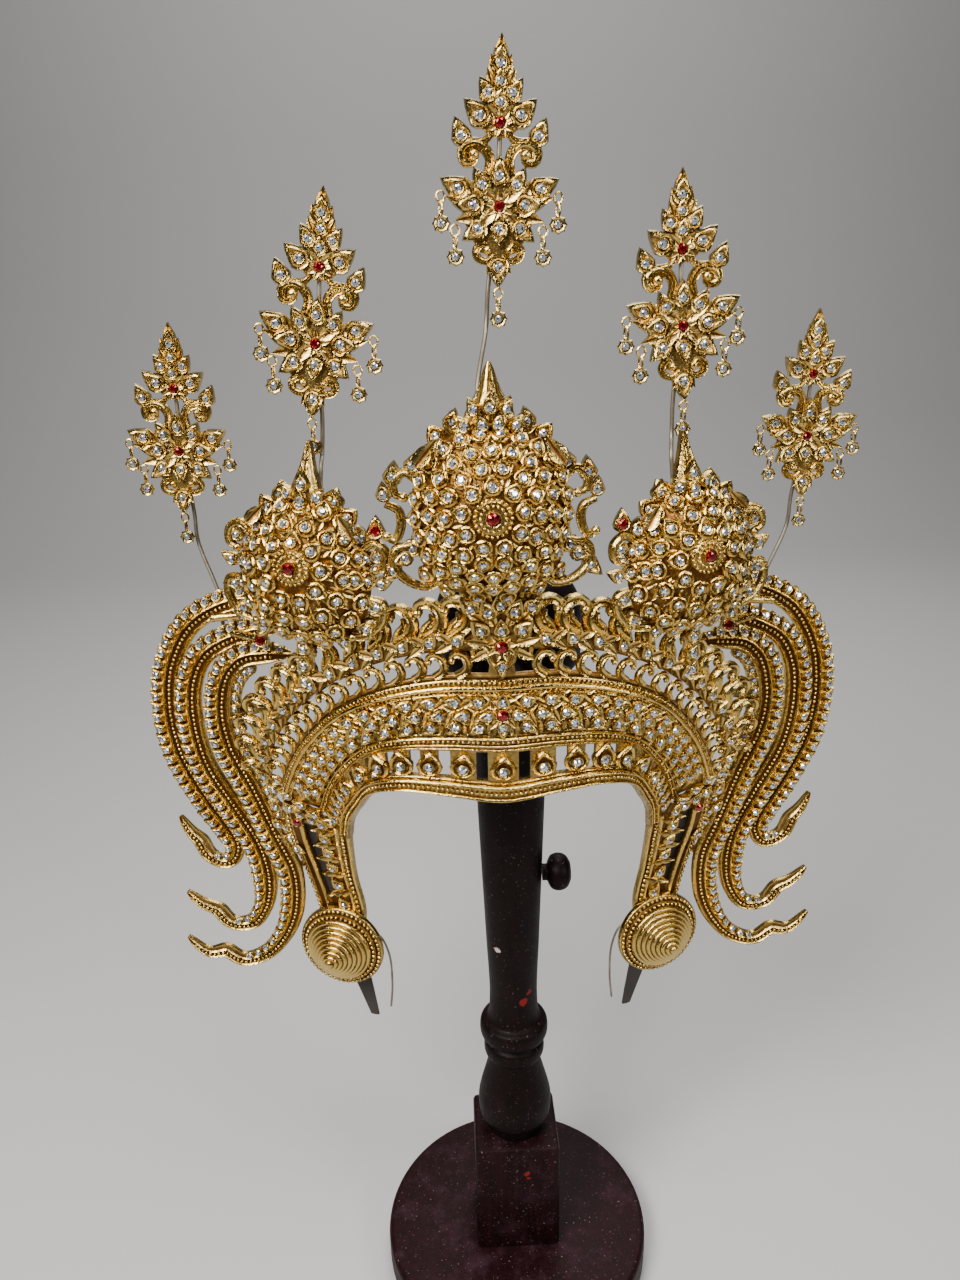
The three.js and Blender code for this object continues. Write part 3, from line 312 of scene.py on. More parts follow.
KNOB = [(4.5, 0), (4.6, 2.4), (6.4, 3.2), (8.8, 4.8), (9.9, 7.6), (9.7, 10.6), (8.2, 13.2), (5, 15)]
KNOB_SEAT = 16.4

# Shapes that repeat
TABLE_PAINTED_REFLECTIONS = [0.0, 0.9, 0.05, 0.35]  # painted reflections of a stone's table facets by quarter: 0 is a light facet, 1 a dark one
# painted reflections of a stone's crown facets by quarter
CROWN_PAINTED_REFLECTIONS = [0.85, 0.0, 0.1, 1.0]
CUP = [(0.95, -0.7, 0.0), (1.05, 0.0, 0.6), (0.98, 0.3, 1), (0.84, 0.26, 0.9), (0.76, 0.0, 0.1)]
PETAL = {"wide": 3.75, "long": 3.4, "waist": 0.16, "tip": 1.5, "sharp": 6, "curve": 0.11,
         "rows": [(0.8, -2.0, 0.1), (1.0, 0.0, 0.75), (0.94, 0.75, 1.0), (0.78, 1.05, 1.0),
                  (0.66, 0.75, 0.9), (0.56, -0.2, 0.1)]}  # share, height, relief
LEAF = {"wide": 0.37, "long": 0.35, "waist": 0.2, "tip": 0.28, "sharp": 5, "curve": 0.14,
        "rows": [(0.95, -0.2, 0.1), (1.0, 0.0, 0.75), (0.9, 0.13, 1.0), (0.74, 0.12, 0.7), (0.6, 0.17, 1.0),
                 (0.46, 0.06, 0.2)]}
BLADE_ROWS = [  # along, half width, lift
    (-0.38, 0.11, 0.0), (-0.27, 0.27, 0.02), (-0.04, 0.34, 0.03), (0.18, 0.29, 0.05), (0.4, 0.17, 0.09),
    (0.7, 0.012, 0.16),
]
BLADE_FACE = [  # across, rise, relief
    (-1, -0.06, 0.3), (-0.84, 0.13, 1), (-0.5, 0.1, 0.6), (0, 0, 0), (0.5, 0.1, 0.6), (0.84, 0.13, 1),
    (1, -0.06, 0.3),
]
SCROLL_SECTION = [(-1, -0.55), (-1, 0.1), (-0.8, 0.5), (-0.56, 0.52), (-0.42, 0.4), (-0.2, 0.82),
                  (0.2, 0.86), (0.5, 0.62), (0.64, 0.42), (0.84, 0.5), (1, 0.1), (1, -0.55)]
SCROLL_RELIEF = [0.3, 0.7, 1.0, 0.8, 0.3, 0.9, 1.0, 0.8, 0.3, 1.0, 0.7, 0.3]
SCROLL_WIDTHS = [0.75, 1, 1.05, 0.9, 0.75]

# Lacquered woods: colours, how much they are chipped and dusty, and marks by place, radius and colour
WOODS = {
    "post": {"colour": "post", "grain": "post_grain", "chips": 0.18, "dust": 0.2,
             "marks": [((-9.2, -11.3, 227.5), 2.0, "chip"), ((8.2, -11.2, 198), 2.2, "paint"),
                       ((5.0, -12.4, 193), 2.6, "paint")]},
    "plinth": {"colour": "post", "grain": "base_grain", "chips": 0.25, "dust": 0.45,
               "marks": [((5.2, -22, 78), 1.8, "paint"), ((6.4, -22, 74.5), 1.2, "paint")]},
    "base": {"colour": "base", "grain": "base_grain", "chips": 0.4, "dust": 0.8, "marks": []},
}

# Stage, in metres; the focal length is in pixels of the photograph
FLOOR_HALF = 5.0
FLOOR_FRONT = -4.0
FLOOR_BACK = 1.6
FLOOR_BEND = 1.0
WALL_TOP = 4.5
ROOM_COLOUR = (0.86, 0.9, 1.0, 1.0)
ROOM_LIGHT = 0.03
LAMPS = [  # place, aim, width, watts, colour
    ((-0.5, -0.62, 1.05), (0, -0.02, 0.46), 0.5, 21, (1.0, 0.98, 0.94)),
    ((0.66, -0.58, 0.7), (0, -0.02, 0.44), 0.28, 4, (0.98, 0.98, 1.0)),
    ((0.1, -0.34, 1.32), (0, -0.02, 0.46), 0.38, 6, (1.0, 0.99, 0.96)),
    ((0.3, 1.1, 1.6), (0, 0, 0.45), 0.8, 10, (1.0, 1.0, 1.0)),
    ((0, 0.9, 2.4), (0, 2.5, 0.7), 0.8, 30, (1.0, 1.0, 1.0)),
]
SENSOR = 36
PHOTO_FOCUS = 961
PHOTO_ROWS = 1280
CAMERA_PLACE = (-0.0266, -0.44306, 0.56101)
CAMERA_AHEAD = (0.0266, 0.9407, -0.3382)
CAMERA_ABOVE = (0.0336, 0.3373, 0.9408)


# Small maths

def unit(vectors):
    """Vectors brought to length one."""
    vectors = np.asarray(vectors, float)
    return vectors / np.maximum(np.linalg.norm(vectors, axis=-1, keepdims=True), 1e-12)


def turn(axis, degrees):
    """A turn about one of the axes as a 4 by 4 matrix."""
    return np.array(Matrix.Rotation(math.radians(degrees), 4, axis))


def shift(place):
    """A move to a place as a 4 by 4 matrix."""
    return np.array(Matrix.Translation(place))


def moved(matrix, points):
    """Points carried by a matrix."""
    return np.asarray(points, float) @ matrix[:3, :3].T + matrix[:3, 3]


def aimed(matrix, vectors):
    """Directions carried by a matrix."""
    return np.asarray(vectors, float) @ matrix[:3, :3].T


def flat(points, depth=0.0):
    """Points of a plane, given across and up, with a depth towards the viewer."""
    points = np.asarray(points, float)
    return np.column_stack([points, np.full(len(points), depth)])


def circle(sides):
    """Points round a circle of radius 1 about the Z axis."""
    around = np.linspace(0, 2 * math.pi, sides, endpoint=False)
    return np.column_stack([np.cos(around), np.sin(around), np.zeros(sides)])


def quarter(steps):
    """Angles from 0 to a right angle."""
    return np.linspace(0, math.pi / 2, steps)


def both_halves(half):
    """A closed outline from its right half, whose two ends lie on the middle."""
    half = np.asarray(half, float)
    return np.concatenate([half, half[-2:0:-1] * (-1, 1)])


def leaning(side, degrees, forward=0.0):
    """A tip's direction, turned from straight up to one side."""
    return side * math.sin(math.radians(degrees)), math.cos(math.radians(degrees)), forward


def sides_of(across):
    """Both sides, or just one for a place on the middle."""
    return (1,) if across == 0 else tuple(SIDES.values())


def each_ring(rows):
    """The last value of each row, as relief that is the same all round a ring."""
    return np.array(rows, float).reshape(len(rows), -1)[:, -1:]


class Path:
    """A smooth line through a few points, walked by a share from 0 to 1."""

    def __init__(self, points):
        self.points = np.asarray(points, float)

    def at(self, shares):
        """Points at these shares of the line, on a centripetal curve."""
        shares = np.clip(np.atleast_1d(np.asarray(shares, float)), 0, 1)
        last = len(self.points) - 1
        spot = np.minimum((shares * last).astype(int), last - 1)
        rest = (shares * last - spot)[:, None]
        first, second = self.points[:2]
        before, end = self.points[-2:]
        line = np.vstack([2 * first - second, self.points, 2 * end - before])
        a, b, c, d = (line[spot + k] for k in range(4))
        ab, bc, cd = (np.maximum(np.linalg.norm(q - p, axis=1, keepdims=True), 1e-9) ** 0.5
                      for p, q in ((a, b), (b, c), (c, d)))
        leave = bc * ((b - a) / ab - (c - a) / (ab + bc) + (c - b) / bc)
        reach = bc * ((c - b) / bc - (d - b) / (bc + cd) + (d - c) / cd)
        return b + leave * rest + (3 * (c - b) - 2 * leave - reach) * rest**2 \
            + (2 * (b - c) + leave + reach) * rest**3

    def evenly(self, count):
        """Points at even shares from end to end."""
        return self.at(np.linspace(0, 1, count))

    def heading(self, shares):
        """Directions along the line at these shares."""
        shares = np.atleast_1d(np.asarray(shares, float))
        step = 2e-3
        return unit(self.at(shares + step) - self.at(shares - step))

    def spaced(self, spacing, start, end):
        """Shares that lie about that far apart along the line."""
        fine = np.linspace(start, end, 500)
        walked = walk_along(self.at(fine))
        count = max(int(round(walked[-1] / spacing)), 1) + 1
        return np.interp(np.linspace(0, walked[-1], count), walked, fine)


def walk_along(line):
    """How far along a line each of its points lies."""
    return np.concatenate([[0], np.cumsum(np.linalg.norm(np.diff(line, axis=0), axis=1))])


EDGES = [Path([(-x, y, z) for x, y, z in reversed(edge[1:])] + edge) for edge in SHELL]


def on_shell(at, up):
    """Points of the crown's shell: at runs from -1, left, to 1, right, and up from 0, brow, to 3, crest."""
    at, up = np.broadcast_arrays(np.atleast_1d(np.asarray(at, float)), np.asarray(up, float))
    rows = np.clip(np.floor(up), 0, len(EDGES) - 2).astype(int)
    edges = np.stack([edge.at((at + 1) / 2) for edge in EDGES])
    pick = np.arange(len(at))
    rest = (up - rows)[:, None]
    return edges[rows, pick] * (1 - rest) + edges[rows + 1, pick] * rest


def shell_frame(at, up):
    """The shell's directions at a point: along to the right, across upwards, and out of its face."""
    at, up = np.broadcast_arrays(np.atleast_1d(np.asarray(at, float)), np.asarray(up, float))
    step = 0.004
    along = unit(on_shell(np.minimum(at + step, 1), up) - on_shell(np.maximum(at - step, -1), up))
    across = unit(on_shell(at, np.minimum(up + step, 3)) - on_shell(at, np.maximum(up - step, 0)))
    out = unit(np.cross(along, across))
    return along, unit(np.cross(out, along)), out


def on_face(at, up, proud):
    """Points that stand proud of the shell."""
    return on_shell(at, up) + shell_frame(at, up)[2] * np.asarray(proud, float).reshape(-1, 1)


def face_grid(columns, rows, proud):
    """A grid of points that stand proud of the shell."""
    at, up = np.meshgrid(columns, rows)
    proud = np.broadcast_to(proud, at.shape)
    return on_face(at.ravel(), up.ravel(), proud.ravel()).reshape(*at.shape, 3)


def face_spot(at, up, proud):
    """One point that stands proud of the shell, with the shell's three directions there."""
    along, across, out = (rows[0] for rows in shell_frame(at, up))
    return on_face(at, up, proud)[0], along, across, out


def across_places(up, spacing, first):
    """Places at the right of the middle along one height of the shell, that far apart in millimetres."""
    fine = np.linspace(0, BAND_STONES_END, 400)
    walked = walk_along(on_shell(fine, up))
    return np.interp(np.arange(first, walked[-1], spacing), walked, fine)


def cells(edges, low, high):
    """Which cells between these edges lie from low to high."""
    middle = (edges[:-1] + edges[1:]) / 2
    return (middle > low) & (middle < high)


def medallion_kind(name):
    """A medallion's form; the left one has the right one's, mirrored."""
    return MEDALLIONS["center" if name == "center" else "right"]


def medallion_frame(name):
    """Where a medallion sits: its own x is across, y up and z out of its face."""
    kind = medallion_kind(name)
    return shift(kind["at"]) @ turn("Z", kind["yaw"]) @ turn("X", 90) @ turn("Z", kind["lean"])


def spire_frame(spire):
    """Where a spire stands: its own x is across, y up and z out of its face."""
    return shift(spire["at"]) @ turn("Y", spire["lean"]) @ turn("X", 90)


def crest_frame():
    """The plane of the crest's middle: its own x is across, y up and z out of its face."""
    return shift((0, FRONT_Y, 0)) @ turn("X", 90)


# Pieces

def add_piece(name, mesh, finish, nodes=()):
    """Puts a finished mesh in the scene as a piece of the crown or its stand."""
    mesh.materials.clear()
    mesh.materials.append(material(finish))
    piece = bpy.data.objects.new(name, mesh)
    bpy.context.scene.collection.objects.link(piece)
    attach(piece, "root")
    if nodes:
        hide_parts(*nodes)
    return piece


def keep_numbers(mesh, name, domain, values):
    """Keeps a number for each point or face of a mesh."""
    attribute = mesh.attributes.new(name, "FLOAT", domain)
    attribute.data.foreach_set("value", np.asarray(values, np.float32))


class Casting:
    """Gathers a piece's closed shells in millimetres; relief is 0 in a crevice and 1 on a proud edge, and
    sets how much painted crevice shade the gilt gets.
    """

    def __init__(self):
        self.points = []
        self.faces = []
        self.relief = []
        self.facet_reflections = []

    def add(self, points, faces, relief=1.0, side=1, facet_reflections=()):
        """Adds one shell, turned over to the crown's left where side is -1; facets may have painted
        reflections.
        """
        points = np.array(points, float).reshape(-1, 3) * (side, 1, 1)
        start = len(self.points)
        self.points.extend(points)
        self.faces.extend([[start + k for k in face] for face in faces])
        self.facet_reflections.extend(facet_reflections)
        self.relief.extend(np.broadcast_to(np.ravel(relief), len(points)))

    def loft(self, rings, relief=1.0, side=1, closed=False):
        """Skins a row of closed rings and caps both ends, or joins them where the row closes."""
        rings = np.asarray(rings, float)
        rows, sides = rings.shape[:2]
        faces = []
        for i in range(rows if closed else rows - 1):
            here = i * sides
            there = (i + 1) % rows * sides
            for j in range(sides):
                k = (j + 1) % sides
                faces.append([here + j, here + k, there + k, there + j])
        if not closed:
            faces.append(list(range(sides))[::-1])
            faces.append([(rows - 1) * sides + j for j in range(sides)])
        self.add(rings, faces, np.broadcast_to(relief, (rows, sides)), side)

    def sheet(self, front, back, relief, keep=None, side=1):
        """Skins a wall between a front and a back grid, leaving out the cells that aren't kept."""
        rows, columns = front.shape[:2]
        half = rows * columns
        keep = np.ones((rows - 1, columns - 1), bool) if keep is None else keep
        framed = np.pad(keep, 1)
        faces = []
        for i, j in zip(*np.nonzero(keep)):
            first = i * columns + j
            corners = [first, first + 1, first + columns + 1, first + columns]
            beside = [framed[i, j + 1], framed[i + 1, j + 2], framed[i + 2, j + 1], framed[i + 1, j]]
            faces.append(corners)
            faces.append([half + k for k in corners[::-1]])
            for k in range(4):
                if not beside[k]:
                    a, b = corners[k], corners[(k + 1) % 4]
                    faces.append([b, a, half + a, half + b])
        points = np.concatenate([front.reshape(-1, 3), back.reshape(-1, 3)])
        grid = np.broadcast_to(relief, (rows, columns)).ravel()
        self.add(points, faces, np.concatenate([grid, np.full(half, BACK_RELIEF)]), side)

    def sweep(self, line, section, widths, relief, steps, side=1, matrix=None):
        """Runs a section, across and proud, along a line of a plane whose face looks to +z."""
        path = Path(line)
        shares = np.linspace(0, 1, steps)
        face = np.array([0, 0, 1.0])
        beside = np.cross(path.heading(shares), face)
        wide = np.interp(shares, np.linspace(0, 1, len(widths)), widths)[:, None, None]
        section = np.asarray(section, float)
        rings = path.at(shares)[:, None] + wide * (section[:, :1] * beside[:, None] + section[:, 1:] * face)
        self.loft(rings if matrix is None else moved(matrix, rings), relief, side)

    def mesh(self, name, smooth=38, move=CROWN_MIDDLE):
        """The gathered shells as one mesh in metres, with its faces outwards."""
        mesh = bpy.data.meshes.new(name)
        mesh.from_pydata(((np.asarray(self.points) + move) * MM).tolist(), [], self.faces)
        keep_numbers(mesh, "relief", "POINT", self.relief)
        if self.facet_reflections:
            keep_numbers(mesh, "tone", "FACE", self.facet_reflections)
        work = bmesh.new()
        work.from_mesh(mesh)
        bmesh.ops.remove_doubles(work, verts=work.verts, dist=1e-6)
        bmesh.ops.dissolve_degenerate(work, edges=work.edges, dist=1e-7)
        bmesh.ops.recalc_face_normals(work, faces=work.faces)
        work.to_mesh(mesh)
        work.free()
        if smooth:
            mesh.shade_smooth()
            mesh.set_sharp_from_angle(angle=math.radians(smooth))
        return mesh

    def piece(self, name, nodes=(), finish="gilt", smooth=38, move=CROWN_MIDDLE):
        """The gathered shells as one piece of the scene."""
        return add_piece(name, self.mesh(name, smooth, move), finish, nodes)


def lathe(profile, sides):
    """Rings of a turned form about the Z axis, from radius and height."""
    return np.stack([circle(sides) * max(radius, 1e-4) + (0, 0, height) for radius, height, *_ in profile])


def ball(casting, place, radius, side=1, sides=12, rows=7):
    """A small round ball."""
    angles = np.linspace(-math.pi / 2, math.pi / 2, rows)
    rings = lathe([(math.cos(a), math.sin(a)) for a in angles], sides)
    casting.loft(rings * radius + place, 1.0, side)


def scrolls(casting, points, half, matrix, depth, side=1):
    """Two grooved scrolls, one on each side of the middle, each with a ball at its curled end."""
    for flip in SIDES.values():
        line = flat(np.asarray(points, float) * (flip, 1), depth)
        widths = [half * part for part in SCROLL_WIDTHS]
        casting.sweep(line, SCROLL_SECTION, widths, SCROLL_RELIEF, 26, side, matrix)
        ball(casting, moved(matrix, line[-1]), half * 1.02, side)


# Shapes that repeat, each with the angle up to which its edges are smooth

def shape_stone():
    """A brilliant cut stone of radius 1: table, stars, kites, girdle and a short back, with a painted light
    or dark reflection kept on each facet.
    """
    eighth = np.arange(8) * math.pi / 4
    rings = [(0.5, 0.46, eighth), (0.8, 0.28, eighth + math.pi / 8), (1.0, 0.0, eighth)]
    points = [(0, 0, 0.47)]
    for radius, height, angles in rings:
        points.extend([(radius * math.cos(a), radius * math.sin(a), height) for a in angles])
    points.append((0, 0, -0.45))
    faces, facet_reflections = [], []
    for k in range(8):
        n = (k + 1) % 8
        faces += [[0, 1 + k, 1 + n], [1 + k, 9 + k, 1 + n], [17 + n, 1 + n, 9 + k], [17 + k, 9 + k, 1 + k],
                  [17 + k, 17 + n, 9 + k], [25, 17 + n, 17 + k]]
        outer = CROWN_PAINTED_REFLECTIONS[k // 2]
        # Each facet's painted reflection, light or dark by quarter
        facet_reflections += [TABLE_PAINTED_REFLECTIONS[k // 2], 0.9 - outer * 0.8, outer, outer, 0.3 * outer, 1.0]
    stone = Casting()
    stone.add(points, faces, facet_reflections=facet_reflections)
    return stone, 0


def shape_cup():
    """A round cup of outer radius 1 with a rolled rim that holds a stone."""
    cup = Casting()
    cup.loft(lathe(CUP, 10), each_ring(CUP))
    return cup, 60


def shape_lotus(form):
    """A lotus leaf: a rolled rim round the hollow that holds a stone's cup, drawn out to a tip."""
    around = np.linspace(0, 2 * math.pi, 12, endpoint=False)
    tip = np.maximum(np.cos(around), 0)
    across = form["wide"] * np.sin(around) * (1 - form["waist"] * tip)
    along = form["long"] * np.cos(around) + form["tip"] * tip ** form["sharp"]
    rings = [np.column_stack([across * share, along * share, height + form["curve"] * along])
             for share, height, _ in form["rows"]]
    leaf = Casting()
    leaf.loft(rings, each_ring(form["rows"]))
    return leaf, 50


def leaf_ring(across, half, along, heights, under):
    """A cut through a leaf: its front from edge to edge, then two points of its back."""
    front = np.column_stack([across * half, np.full(len(across), along), heights])
    return np.concatenate([front, [(half * 0.8, along, under), (-half * 0.8, along, under)]])


def shape_blade():
    """A plain flame leaf of length 1 with rolled edges and a grooved middle."""
    across, rise, relief = np.array(BLADE_FACE).T
    rings = []
    for along, half, lift in BLADE_ROWS:
        taper = 0.35 + 0.65 * min(1, half / 0.2)
        rings.append(leaf_ring(across, half, along, lift + rise * taper, lift - 0.18))
    leaf = Casting()
    leaf.loft(rings, [*relief, 0.1, 0.1])
    return leaf, 45


def shape_curl(side, width, body):
    """A crest curl of height 1 hooked to one side with a ball at its end, with or without a leafy body."""
    curl = Casting()
    line = flat(np.array(CURL_PATH) * (side, 1))
    if body:
        inner = flat(np.array(CURL_BODY) * (side, 1), -0.04)
        curl.sweep(inner, CURL_SECTION, CURL_BODY_WIDTHS, CURL_RELIEF, 9)
    curl.sweep(line, CURL_SECTION, [width * part for part in CURL_WIDTHS], CURL_RELIEF, 13)
    ball(curl, line[-1], width * 0.85, sides=6, rows=5)
    return curl, 50


def shape_drop():
    """A jump ring, a long link, a bead and a lobed flower, hanging down from the origin, in millimetres."""
    drop = Casting()
    wire = circle(6)
    for middle, wide, tall, turned in DROP_LINKS:
        around = circle(14)
        plane = np.array([math.cos(turned), 0, math.sin(turned)])
        line = np.outer(wide * around[:, 0], plane) + np.outer(tall * around[:, 1] + middle, (0, 1, 0))
        ahead = unit(np.roll(line, -1, 0) - np.roll(line, 1, 0))
        normal = unit(np.cross(plane, (0, 1, 0)))
        beside = np.cross(ahead, normal)
        rings = line[:, None] + DROP_WIRE * (wire[:, :1] * normal + wire[:, 1:2] * beside[:, None])
        drop.loft(rings, 0.7, closed=True)
    lobes = np.cos(8 * np.linspace(0, 2 * math.pi, 24, endpoint=False))[:, None]
    flower = [circle(24) * radius * (1 + deep * lobes) + (0, DROP_STONE, height)
              for radius, height, deep, _ in DROP_FLOWER]
    drop.loft(flower, each_ring(DROP_FLOWER))
    bead = lathe([(0.5, -0.9), (0.8, 0), (0.5, 0.9)], 8)
    drop.loft(moved(shift((0, DROP_BEAD, 0)) @ turn("X", 90), bead), 0.8)
    return drop, 50


class Spots:
    """Places for a repeated shape: where, which way its face looks and its tip points, and its size."""

    def __init__(self, places=()):
        self.places = list(places)

    def add(self, where, facing, pointing, size=1.0):
        """Adds one place."""
        self.places.append((np.asarray(where, float), unit(facing), unit(pointing), size))

    def put(self, matrix, where, facing, pointing, size=1.0):
        """Adds one place that is given in a frame of its own."""
        self.add(moved(matrix, where), aimed(matrix, facing), aimed(matrix, pointing), size)

    def sided(self, side):
        """The same places, on the other side of the crown where side is -1."""
        over = (side, 1, 1)
        return Spots((where * over, facing * over, pointing * over, size)
                     for where, facing, pointing, size in self.places)

    def moved(self, out, along=0.0, scale=None):
        """The same places moved out of their face and along their tip, at another size."""
        return Spots((where + facing * out + pointing * along, facing, pointing, scale or size)
                     for where, facing, pointing, size in self.places)

    def __add__(self, other):
        return Spots(self.places + other.places)


def daisy(spots, where, out, up, radius, count, size):
    """Adds a ring of leaves that point away from a middle."""
    beside = np.cross(up, out)
    for angle in np.linspace(0, 2 * math.pi, count, endpoint=False):
        away = beside * math.sin(angle) + up * math.cos(angle)
        spots.add(where + away * radius, out, away, size)


def leaf_rows(matrix, rows, depth, forward=0.0, scale=1.0, column=0, facing=(0, 0, 1)):
    """Places on both sides of a frame's middle, from rows of across, up, tip's turn and sizes."""
    spots = Spots()
    for across, up, lean, *sizes in rows:
        for side in sides_of(across):
            tip = leaning(side, lean, forward)
            spots.put(matrix, (side * across, up, depth), facing, tip, sizes[column] * scale)
    return spots


# Geometry Nodes

class Nodes:
    """A tree of nodes, filled one node at a time."""

    def node(self, kind, settings, sockets):
        """Adds a node, sets its settings, then feeds its sockets."""
        node = self.tree.nodes.new(kind)
        for name, value in settings.items():
            setattr(node, name, value)
        for key, value in sockets.items():
            self.join(node.inputs[key], value)
        return node

    def join(self, socket, value):
        """Links a value to a socket, or sets the socket where the value is plain."""
        value = getattr(value, "socket", value)
        if isinstance(value, bpy.types.NodeSocket):
            self.tree.links.new(value, socket)
        else:
            socket.default_value = value


class Tree(Nodes):
    """A Geometry Nodes tree with named inputs."""

    def __init__(self, name, inputs):
        self.tree = bpy.data.node_groups.new(name, "GeometryNodeTree")
        self.tree.is_modifier = True
        self.inputs = {}
        for title, kind in {"Geometry": "Geometry", **inputs}.items():
            self.inputs[title] = self.socket(title, "INPUT", kind)
        self.socket("Geometry", "OUTPUT", "Geometry")
        self.start = self.tree.nodes.new("NodeGroupInput").outputs
        self.end = self.tree.nodes.new("NodeGroupOutput").inputs

    def socket(self, title, way, kind):
        """Gives the tree an input or output, and says what it is known by."""
        face = self.tree.interface
        return face.new_socket(title, in_out=way, socket_type="NodeSocket" + kind).identifier

    def add(self, kind, settings, sockets):
        """Adds a node and gives its outputs."""
        return self.node(kind, settings, sockets).outputs

    def named(self, kind, name):
        """A value kept on the source mesh."""
        return self.add("GeometryNodeInputNamedAttribute", {"data_type": kind}, {"Name": name})["Attribute"]

    def line(self):
        """The source mesh's edges as curves."""
        return self.add("GeometryNodeMeshToCurve", {}, {"Mesh": self.start["Geometry"]})[0]

    def finish(self, instances):
        """Ends the tree with real faces of one material."""
        real = self.add("GeometryNodeRealizeInstances", {}, {"Geometry": instances})
        painted = self.add("GeometryNodeSetMaterial", {},
                           {"Geometry": real[0], "Material": self.start["Material"]})
        self.join(self.end["Geometry"], painted[0])
        return self

    def grow(self, name, source, values):
        """Runs the tree on a source mesh and gives the result as a plain mesh."""
        holder = bpy.data.objects.new(name + "_source", source)
        bpy.context.scene.collection.objects.link(holder)
        modifier = holder.modifiers.new(name, "NODES")
        modifier.node_group = self.tree
        for title, value in values.items():
            modifier[self.inputs[title]] = value
        depsgraph = bpy.context.evaluated_depsgraph_get()
        mesh = bpy.data.meshes.new_from_object(holder.evaluated_get(depsgraph), depsgraph=depsgraph)
        mesh.name = name
        holder.modifiers.remove(modifier)
        bpy.data.objects.remove(holder)
        if not len(mesh.polygons):
            raise RuntimeError(f"{name} came out empty")
        return mesh


@cache
def tree_of_settings():
    """Sets one shape on points by their facing, pointing and size, each a little out of true."""
    tree = Tree("set_on_points", {"Shape": "Object", "Tilt": "Float", "Seed": "Int", "Material": "Material"})
    aim = tree.add("FunctionNodeAxesToRotation", {"primary_axis": "Z", "secondary_axis": "Y"},
                   {"Primary Axis": tree.named("FLOAT_VECTOR", "facing"),
                    "Secondary Axis": tree.named("FLOAT_VECTOR", "pointing")})
    less = tree.add("ShaderNodeMath", {"operation": "MULTIPLY"}, {0: tree.start["Tilt"], 1: -1.0})
    wobble = tree.add("FunctionNodeRandomValue", {"data_type": "FLOAT_VECTOR"},
                      {0: less[0], 1: tree.start["Tilt"], "Seed": tree.start["Seed"]})
    swing = tree.add("FunctionNodeEulerToRotation", {}, {0: wobble[0]})
    turned = tree.add("FunctionNodeRotateRotation", {"rotation_space": "LOCAL"}, {0: aim[0], 1: swing[0]})
    shape = tree.add("GeometryNodeObjectInfo", {}, {"Object": tree.start["Shape"]})
    placed = tree.add("GeometryNodeInstanceOnPoints", {},
                      {"Points": tree.start["Geometry"], "Instance": shape["Geometry"],
                       "Rotation": turned[0], "Scale": tree.named("FLOAT", "size")})
    return tree.finish(placed[0])


@cache
def tree_of_beads():
    """Strings round beads along lines, a set spacing apart."""
    tree = Tree("string_beads", {"Spacing": "Float", "Radius": "Float", "Material": "Material"})
    even = tree.add("GeometryNodeResampleCurve", {"mode": "LENGTH"},
                    {"Curve": tree.line(), "Length": tree.start["Spacing"]})
    bead = tree.add("GeometryNodeMeshUVSphere", {},
                    {"Segments": 8, "Rings": 5, "Radius": tree.start["Radius"]})
    smooth = tree.add("GeometryNodeSetShadeSmooth", {}, {0: bead["Mesh"]})
    proud = tree.add("GeometryNodeStoreNamedAttribute", {"data_type": "FLOAT", "domain": "POINT"},
                     {"Geometry": smooth[0], "Name": "relief", "Value": 0.95})
    placed = tree.add("GeometryNodeInstanceOnPoints", {}, {"Points": even[0], "Instance": proud[0]})
    return tree.finish(placed[0])


@cache
def tree_of_wire():
    """Draws round wire along lines, with closed ends."""
    tree = Tree("draw_wire", {"Radius": "Float", "Material": "Material"})
    ring = tree.add("GeometryNodeCurvePrimitiveCircle", {"mode": "RADIUS"},
                    {"Resolution": 10, "Radius": tree.start["Radius"]})
    drawn = tree.add("GeometryNodeCurveToMesh", {},
                     {"Curve": tree.line(), "Profile Curve": ring[0], "Fill Caps": True})
    smooth = tree.add("GeometryNodeSetShadeSmooth", {}, {0: drawn[0]})
    return tree.finish(smooth[0])


def scatter(name, spots, shape, finish="gilt", scale=1.0, nodes=(), tilt=2.5, seed=1):
    """Sets a shape on every spot as one piece."""
    casting, smooth = shape
    template = bpy.data.objects.new(name + "_shape", casting.mesh(name + "_shape", smooth, move=(0, 0, 0)))
    where, facing, pointing, sizes = (np.array(values) for values in zip(*spots.places))
    source = bpy.data.meshes.new(name + "_spots")
    source.from_pydata(((where + CROWN_MIDDLE) * MM).tolist(), [], [])
    for title, values in (("facing", facing), ("pointing", pointing)):
        attribute = source.attributes.new(title, "FLOAT_VECTOR", "POINT")
        attribute.data.foreach_set("vector", values.astype(np.float32).ravel())
    keep_numbers(source, "size", "POINT", sizes * scale)
    values = {"Shape": template, "Tilt": math.radians(tilt), "Seed": seed, "Material": material(finish)}
    mesh = tree_of_settings().grow(name, source, values)
    bpy.data.objects.remove(template)
    return add_piece(name, mesh, finish, nodes)


def line_mesh(name, lines, closed=False):
    """Lines of points in millimetres as the edges of one mesh in metres."""
    mesh = bpy.data.meshes.new(name + "_line")
    points, edges = [], []
    for line in lines:
        start = len(points)
        points.extend(((np.asarray(line, float) + CROWN_MIDDLE) * MM).tolist())
        edges.extend([(k, k + 1) for k in range(start, len(points) - 1)])
        if closed:
            edges.append((len(points) - 1, start))
    mesh.from_pydata(points, edges, [])
    return mesh


def string_beads(name, lines, radius, closed=False):
    """Rows of beads along lines as one gilt piece."""
    values = {"Spacing": radius * BEAD_SPACING * MM, "Radius": radius * MM, "Material": material("gilt")}
    return add_piece(name, tree_of_beads().grow(name, line_mesh(name, lines, closed), values), "gilt")


def draw_wire(name, line, radius, node):
    """A round wire along a line as one piece."""
    values = {"Radius": radius * MM, "Material": material("wire")}
    return add_piece(name, tree_of_wire().grow(name, line_mesh(name, [line]), values), "wire", [node])


